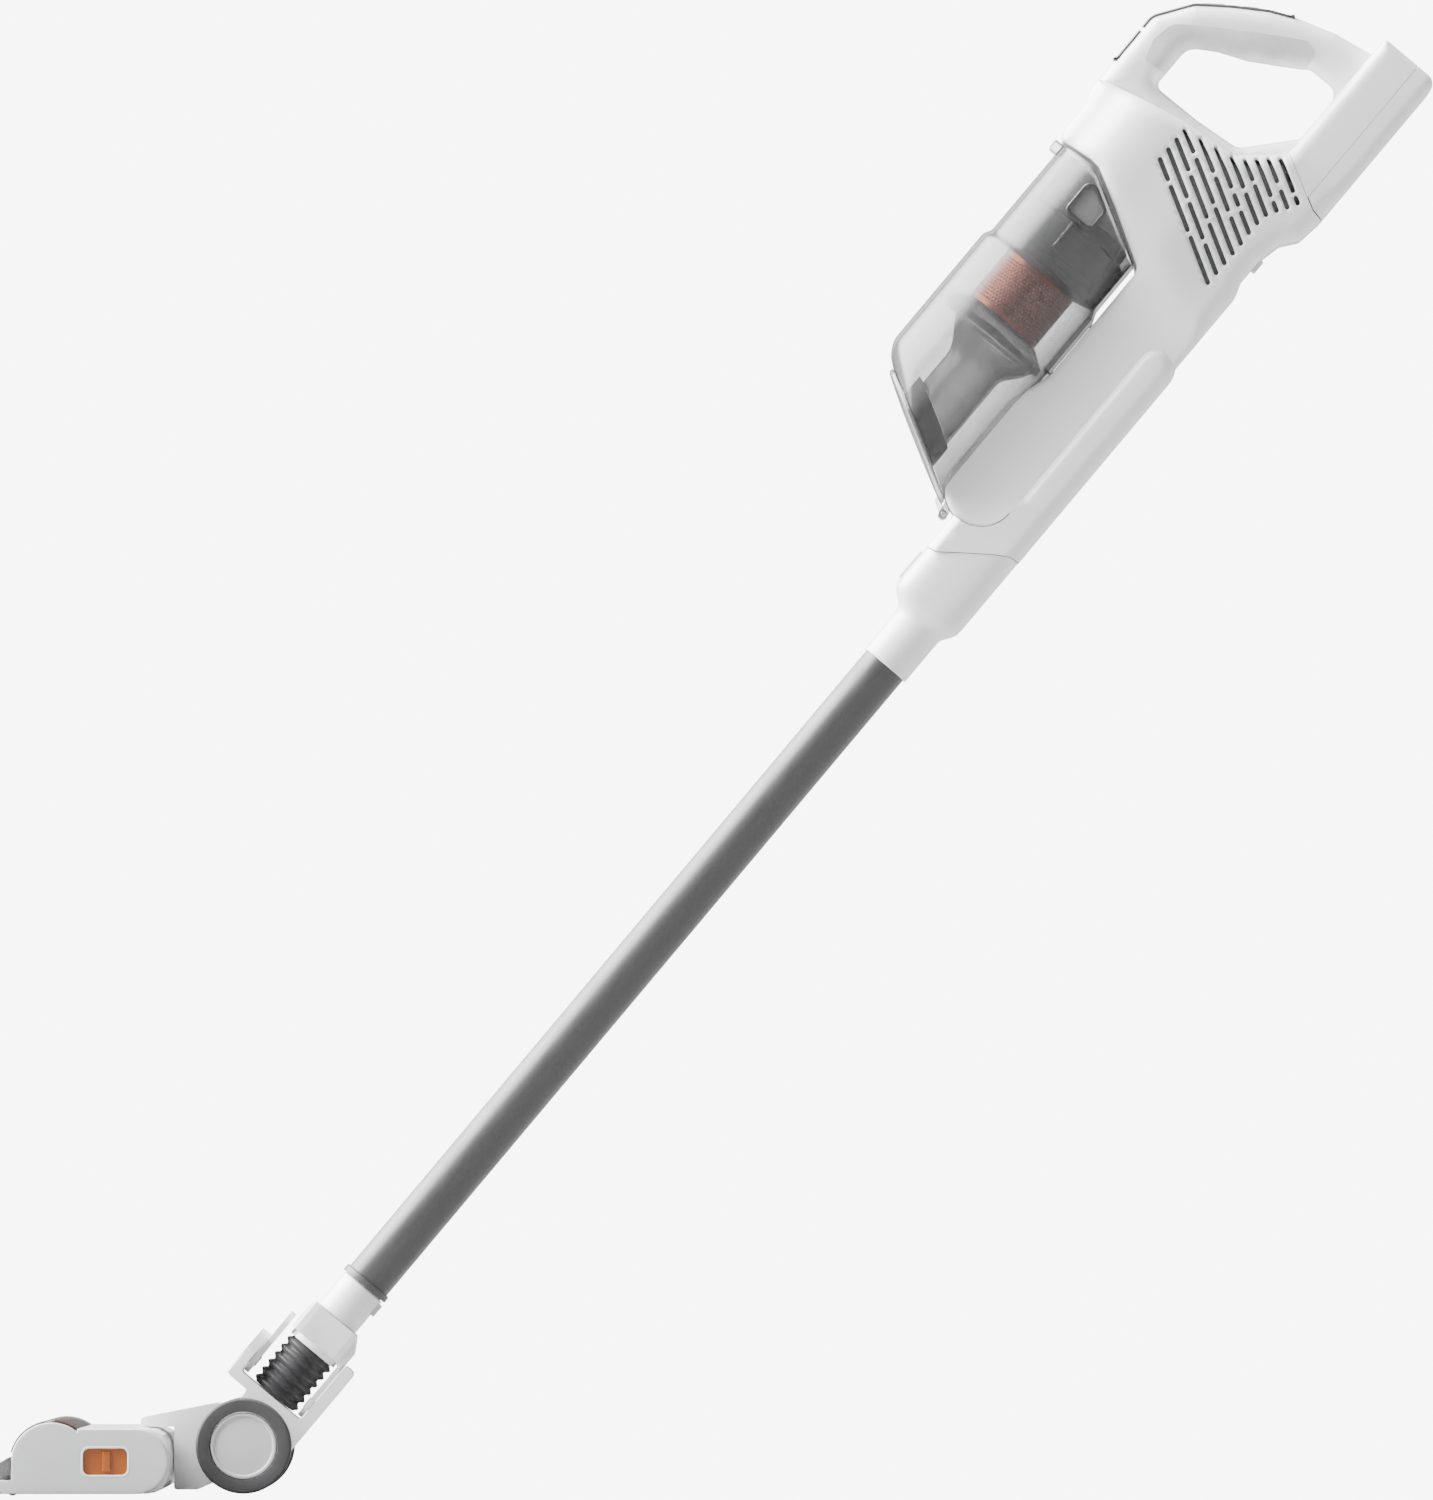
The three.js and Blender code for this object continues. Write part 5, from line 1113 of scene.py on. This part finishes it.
def build_brush(sizes):
    """Brush roll: a turned core, four twisted bristle strips with ragged tips, its pulley and shaft."""
    along = np.linspace(-BRISTLE_REACH, BRISTLE_REACH, 161)
    core = turned([(0.2, -96), (13.6, -96, 1), (13.6, 96, 1), (0.2, 96)], 0, 72)
    ends = [turned([(0.2, -121.9), (4.9, -121.9, 0.6), (4.9, 121.9, 0.6), (0.2, 121.9)], 0, 36)]
    ends.append(
        turned(
            [(4.7, 100.2, 0.3), (8.9, 100.2, 0.4), (8.9, 107.8, 0.4), (4.7, 107.8, 0.3)], 0, 48,
            swell=lambda r, z, a: np.where(r > 7, 0.25 * np.sin(24 * a), 0),
        )
    )
    strips = []
    for strip in range(4):
        turn = strip * QUARTER + along / (2 * BRISTLE_REACH) * math.pi
        ragged = 20.1 + 0.25 * np.sin(along * 7.3 + strip) * np.sin(along * 2.9)
        radius = np.stack(
            [
                0 * along + 13.2, 0 * along + 16.5, ragged - 0.6, ragged, ragged - 0.6, 0 * along + 16.5,
                0 * along + 13.2,
            ],
            1,
        )
        spread = np.array([-3.0, -2.0, -1.3, 0.0, 1.3, 2.0, 3.0])[None] / radius
        angle = turn[:, None] + spread
        strips.append(
            loft(np.stack([radius * np.cos(angle), radius * np.sin(angle), along[:, None] + 0 * radius], -1))
        )
    place = HEAD.shifted(BRUSH_X, 0, BRUSH_Z, SIDEWAYS)
    add_piece(
        "brush_core_and_strips", "brush", ["dark_plastic", "bristle"], place,
        [gathered(core, *ends), gathered(*strips)], ["brush_roll"],
    )


CARRIED = {
    "fan_motor": ("steel", 0.6), "exhaust_filter": ("foam", 0.8), "control_board": ("board", 0.2),
    "impeller": ("steel", 0.3),
    "battery_cells": ("cells", 0.6), "brush_motor": ("steel", 0.6), "motor_pulley": ("dark_plastic", 0.4),
    "drive_belt": ("black_rubber", 0.2),
}  # fmt: skip


def build_works(sizes):
    """Inner works carried over from the frame with eased edges and their own finishes."""
    owners = {node: body for body, nodes in frame["record"]["behaviour"]["bodies"].items() for node in nodes}
    for node, (finish, edge) in CARRIED.items():
        eased_copy(node, owners[node], finish, edge)


# ---- stage -------------------------------------------------------------------------------------


def softbox(name, place, aim, width, height, power):
    """A rectangular light that faces a point."""
    lamp = bpy.data.lights.new(name, "AREA")
    lamp.shape, lamp.size, lamp.size_y, lamp.energy = "RECTANGLE", width, height, power
    made = bpy.data.objects.new(name, lamp)
    made.location = place
    made.rotation_euler = (Vector(aim) - Vector(place)).to_track_quat("-Z", "Y").to_euler()
    bpy.context.scene.collection.objects.link(made)


BRIGHT_SIDE = (-0.70, 0.1, 0.71)  # where the studio's light is strongest: above, left and behind


def lay_stage(settings):
    """A floor and a surround that look plain white, light that is strongest from above, left and behind,
    three softboxes, and a long lens level with the floor head. The floor glows and the surround is even
    only where the camera sees them; the vacuum itself is lit by the floor's grey paper and by the uneven
    surround."""
    size = 60.0
    mesh = bpy.data.meshes.new("floor")
    mesh.from_pydata(
        [(-size, -size, 0), (size, -size, 0), (size, size, 0), (-size, size, 0)], [], [(0, 1, 2, 3)]
    )
    floor = bpy.data.objects.new("floor", mesh)
    bpy.context.scene.collection.objects.link(floor)
    paper = Finish("floor_paper", None, Roughness=0.9)
    paper.tint(paper.ranged(paper.noise(3), 0, 1), (0.19, 0.19, 0.19), (0.21, 0.21, 0.21))
    glow, sight, blend = (
        paper.nodes.new("ShaderNode" + kind) for kind in ("Emission", "LightPath", "MixShader")
    )
    glow.inputs["Strength"].default_value = settings.backdrop
    for source, socket in (
        (sight.outputs["Is Camera Ray"], 0), (paper.shader.outputs[0], 1), (glow.outputs[0], 2)
    ):
        paper.links.new(source, blend.inputs[socket])
    paper.links.new(
        blend.outputs[0],
        next(node for node in paper.nodes if node.type == "OUTPUT_MATERIAL").inputs["Surface"],
    )
    mesh.materials.append(paper.material)

    world = bpy.data.worlds.new("studio")
    bpy.context.scene.world = world
    world.use_nodes = True
    nodes, links = world.node_tree.nodes, world.node_tree.links
    surround = next(node for node in nodes if node.type == "BACKGROUND")
    kinds = ("Background", "LightPath", "MixShader", "TexCoord", "VectorMath", "MapRange")
    seen, path, mix, direction, towards, front = (nodes.new("ShaderNode" + kind) for kind in kinds)
    seen.inputs["Color"].default_value = (1, 1, 1, 1)
    seen.inputs["Strength"].default_value = settings.backdrop
    towards.operation, front.interpolation_type = "DOT_PRODUCT", "SMOOTHSTEP"
    towards.inputs[1].default_value = unit(np.array([BRIGHT_SIDE]))[0]
    links.new(direction.outputs["Generated"], towards.inputs[0])
    links.new(towards.outputs["Value"], front.inputs["Value"])
    for socket, value in (
        ("From Min", 0.70), ("From Max", 1.0), ("To Min", settings.front_light),
        ("To Max", settings.side_light),
    ):
        front.inputs[socket].default_value = value
    links.new(front.outputs["Result"], surround.inputs["Strength"])
    surround.inputs["Color"].default_value = (1, 1, 1, 1)
    output = next(node for node in nodes if node.type == "OUTPUT_WORLD")
    for source, socket in (
        (path.outputs["Is Camera Ray"], 0), (surround.outputs[0], 1), (seen.outputs[0], 2)
    ):
        links.new(source, mix.inputs[socket])
    links.new(mix.outputs[0], output.inputs["Surface"])
    softbox("overhead", (-0.6, 0.2, 3.2), (0, 0, 0.4), 2.6, 1.6, settings.overhead)
    softbox("left_rim", (-3.0, 0.7, 1.4), (0, 0, 0.6), 1.2, 2.4, settings.rim)
    softbox("right_rim", (3.0, 0.9, 1.2), (0, 0, 0.6), 1.2, 2.4, settings.rim * 0.7)

    lens = bpy.data.cameras.new("camera")
    lens.sensor_width, lens.lens, lens.clip_end = 36.0, settings.lens * 1000, 200.0
    camera = bpy.data.objects.new("camera", lens)
    aim = Place(AXLE, (1, 0, 0), ACROSS, (0, 0, 1))([306.0, 0, 451.8])
    eye = Vector((aim[0], -10.0, AXLE[2] + 0.141))
    camera.location = eye
    camera.rotation_euler = (Vector(aim) - eye).to_track_quat("-Z", "Y").to_euler()
    bpy.context.scene.collection.objects.link(camera)
    bpy.context.scene.camera = camera


# ---- add-on -------------------------------------------------------------------------------------


def length(name, description, default):
    return FloatProperty(
        name=name, description=description, default=default, min=0.0, precision=4, unit="LENGTH"
    )


def colour(name, description, default):
    return FloatVectorProperty(
        name=name, description=description, default=default, size=len(default), subtype="COLOR", min=0, max=1
    )


class VacuumSizes(bpy.types.PropertyGroup):
    """Sizes a user may change without touching the frame."""

    casing_wall: length("Casing wall", "Thickness of the moulded casing", 0.0022)
    bin_wall: length("Bin wall", "Thickness of the clear cup", 0.0022)
    handle_fillet: length("Handle fillet", "Radius that rounds the handle loop", 0.0125)


class VacuumColours(bpy.types.PropertyGroup):
    """Colours of the vacuum's finishes."""

    casing: colour("Casing", "Glossy body mouldings", (0.90, 0.90, 0.90))
    panel: colour("Side panels", "Floor head side panels", (0.62, 0.63, 0.63))
    grip: colour("Grip", "Soft-touch inner handle", (0.62, 0.62, 0.63))
    button: colour("Buttons", "Keys and releases", (0.66, 0.66, 0.67))
    strip: colour("Dark trim", "Control strip, collars and sole", (0.07, 0.07, 0.073))
    tyre: colour("Tyres", "Rubber of the wheels", (0.05, 0.05, 0.052))
    hub: colour("Hubs", "Discs of the wheels", (0.60, 0.60, 0.60))
    hose: colour("Hose", "Ribbed hose and belts", (0.018, 0.018, 0.019))
    tube: colour("Wand tube", "Painted tube", (0.052, 0.052, 0.053))
    screen: colour("Screen", "Perforated filter screen", (0.36, 0.08, 0.035))
    smoke: colour("Bin", "Tinted cup; the last number is how much it stops", (0.30, 0.30, 0.305, 0.46))
    lens: colour("Lens", "Front lens", (0.06, 0.058, 0.055, 0.8))
    window: colour("Brush roof", "Tinted roof over the brush", (0.07, 0.033, 0.022, 0.62))
    latch: colour("Latch", "Brush release slide", (0.36, 0.08, 0.0))


class VacuumStage(bpy.types.PropertyGroup):
    """Light and lens of the stage."""

    lens: FloatProperty(name="Lens", description="Focal length in metres", default=0.369, min=0.01)
    backdrop: FloatProperty(
        name="Backdrop", description="Brightness of the surround behind the vacuum", default=8.0, min=0.0
    )
    front_light: FloatProperty(
        name="Front light", description="Surround light away from its bright side", default=0.3, min=0.0
    )
    side_light: FloatProperty(
        name="Side light", description="Surround light from above, left and behind", default=36.0, min=0.0
    )
    overhead: FloatProperty(
        name="Overhead", description="Power of the softbox above", default=15.0, min=0.0, unit="POWER"
    )
    rim: FloatProperty(
        name="Rim", description="Power of the upright softboxes", default=25.0, min=0.0, unit="POWER"
    )


class VACUUM_OT_stage(bpy.types.Operator):
    """Lay the floor, the lights and the camera"""

    bl_idname = "vacuum.stage"
    bl_label = "Stage"
    bl_options = {"REGISTER", "UNDO"}

    def execute(self, context):
        lay_stage(context.scene.vacuum_stage)
        return {"FINISHED"}


class VACUUM_OT_finishes(bpy.types.Operator):
    """Mix the finishes that the pieces use"""

    bl_idname = "vacuum.finishes"
    bl_label = "Finishes"
    bl_options = {"REGISTER", "UNDO"}

    def execute(self, context):
        mix_finishes(context.scene.vacuum_colours)
        return {"FINISHED"}


class VACUUM_OT_casing(bpy.types.Operator):
    """Build the two halves of the main casing with their vents"""

    bl_idname = "vacuum.casing"
    bl_label = "Casing"
    bl_options = {"REGISTER", "UNDO"}

    def execute(self, context):
        build_casing(context.scene.vacuum_sizes)
        return {"FINISHED"}


class VACUUM_OT_air_path(bpy.types.Operator):
    """Build the rear duct, the nozzle and the wand's connector"""

    bl_idname = "vacuum.air_path"
    bl_label = "Duct and connector"
    bl_options = {"REGISTER", "UNDO"}

    def execute(self, context):
        build_air_path(context.scene.vacuum_sizes)
        return {"FINISHED"}


class VACUUM_OT_handle(bpy.types.Operator):
    """Build the handle, its grip, strip and keys"""

    bl_idname = "vacuum.handle"
    bl_label = "Handle"
    bl_options = {"REGISTER", "UNDO"}

    def execute(self, context):
        build_handle(context.scene.vacuum_sizes)
        return {"FINISHED"}


class VACUUM_OT_battery(bpy.types.Operator):
    """Build the battery and its release"""

    bl_idname = "vacuum.battery"
    bl_label = "Battery"
    bl_options = {"REGISTER", "UNDO"}

    def execute(self, context):
        build_battery(context.scene.vacuum_sizes)
        return {"FINISHED"}


class VACUUM_OT_bin(bpy.types.Operator):
    """Build the dust bin, its keys and its door"""

    bl_idname = "vacuum.bin"
    bl_label = "Dust bin"
    bl_options = {"REGISTER", "UNDO"}

    def execute(self, context):
        build_bin(context.scene.vacuum_sizes)
        return {"FINISHED"}


class VACUUM_OT_cyclone(bpy.types.Operator):
    """Build the screen, the flange and the cone inside the bin"""

    bl_idname = "vacuum.cyclone"
    bl_label = "Cyclone"
    bl_options = {"REGISTER", "UNDO"}

    def execute(self, context):
        build_cyclone(context.scene.vacuum_sizes)
        return {"FINISHED"}


class VACUUM_OT_wand(bpy.types.Operator):
    """Build the wand tube"""

    bl_idname = "vacuum.wand"
    bl_label = "Wand"
    bl_options = {"REGISTER", "UNDO"}

    def execute(self, context):
        build_wand(context.scene.vacuum_sizes)
        return {"FINISHED"}


class VACUUM_OT_swivel(bpy.types.Operator):
    """Build the neck, the swivel housing, the hose and the yoke"""

    bl_idname = "vacuum.swivel"
    bl_label = "Swivel"
    bl_options = {"REGISTER", "UNDO"}

    def execute(self, context):
        build_swivel(context.scene.vacuum_sizes)
        return {"FINISHED"}


class VACUUM_OT_wheels(bpy.types.Operator):
    """Build the wheels and the front rollers"""

    bl_idname = "vacuum.wheels"
    bl_label = "Wheels"
    bl_options = {"REGISTER", "UNDO"}

    def execute(self, context):
        build_wheels(context.scene.vacuum_sizes)
        return {"FINISHED"}


class VACUUM_OT_head(bpy.types.Operator):
    """Build the floor head's shell"""

    bl_idname = "vacuum.head"
    bl_label = "Floor head"
    bl_options = {"REGISTER", "UNDO"}

    def execute(self, context):
        build_head(context.scene.vacuum_sizes)
        return {"FINISHED"}


class VACUUM_OT_brush(bpy.types.Operator):
    """Build the brush roll"""

    bl_idname = "vacuum.brush"
    bl_label = "Brush roll"
    bl_options = {"REGISTER", "UNDO"}

    def execute(self, context):
        build_brush(context.scene.vacuum_sizes)
        return {"FINISHED"}


class VACUUM_OT_works(bpy.types.Operator):
    """Finish the inner works"""

    bl_idname = "vacuum.works"
    bl_label = "Inner works"
    bl_options = {"REGISTER", "UNDO"}

    def execute(self, context):
        build_works(context.scene.vacuum_sizes)
        return {"FINISHED"}


STEPS = (
    VACUUM_OT_stage,
    VACUUM_OT_finishes,
    VACUUM_OT_casing,
    VACUUM_OT_air_path,
    VACUUM_OT_handle,
    VACUUM_OT_battery,
    VACUUM_OT_bin,
    VACUUM_OT_cyclone,
    VACUUM_OT_wand,
    VACUUM_OT_swivel,
    VACUUM_OT_wheels,
    VACUUM_OT_head,
    VACUUM_OT_brush,
    VACUUM_OT_works,
)


class VACUUM_PT_panel(bpy.types.Panel):
    """Lists the steps and the values that they use"""

    bl_label = "Stick vacuum"
    bl_space_type = "VIEW_3D"
    bl_region_type = "UI"
    bl_category = "Vacuum"

    def draw(self, context):
        for step in STEPS:
            self.layout.operator(step.bl_idname)
        for group in (context.scene.vacuum_sizes, context.scene.vacuum_colours, context.scene.vacuum_stage):
            for name in group.__annotations__:
                self.layout.prop(group, name)


GROUPS = {"vacuum_sizes": VacuumSizes, "vacuum_colours": VacuumColours, "vacuum_stage": VacuumStage}


def register():
    for made in (*GROUPS.values(), *STEPS, VACUUM_PT_panel):
        bpy.utils.register_class(made)
    for name, group in GROUPS.items():
        setattr(bpy.types.Scene, name, PointerProperty(type=group))


def unregister():
    for name in GROUPS:
        delattr(bpy.types.Scene, name)
    for made in (VACUUM_PT_panel, *reversed(STEPS), *GROUPS.values()):
        bpy.utils.unregister_class(made)


def main():
    register()
    for step in STEPS:
        module, name = step.bl_idname.split(".")
        getattr(getattr(bpy.ops, module), name)()


if __name__ == "__main__":
    main()
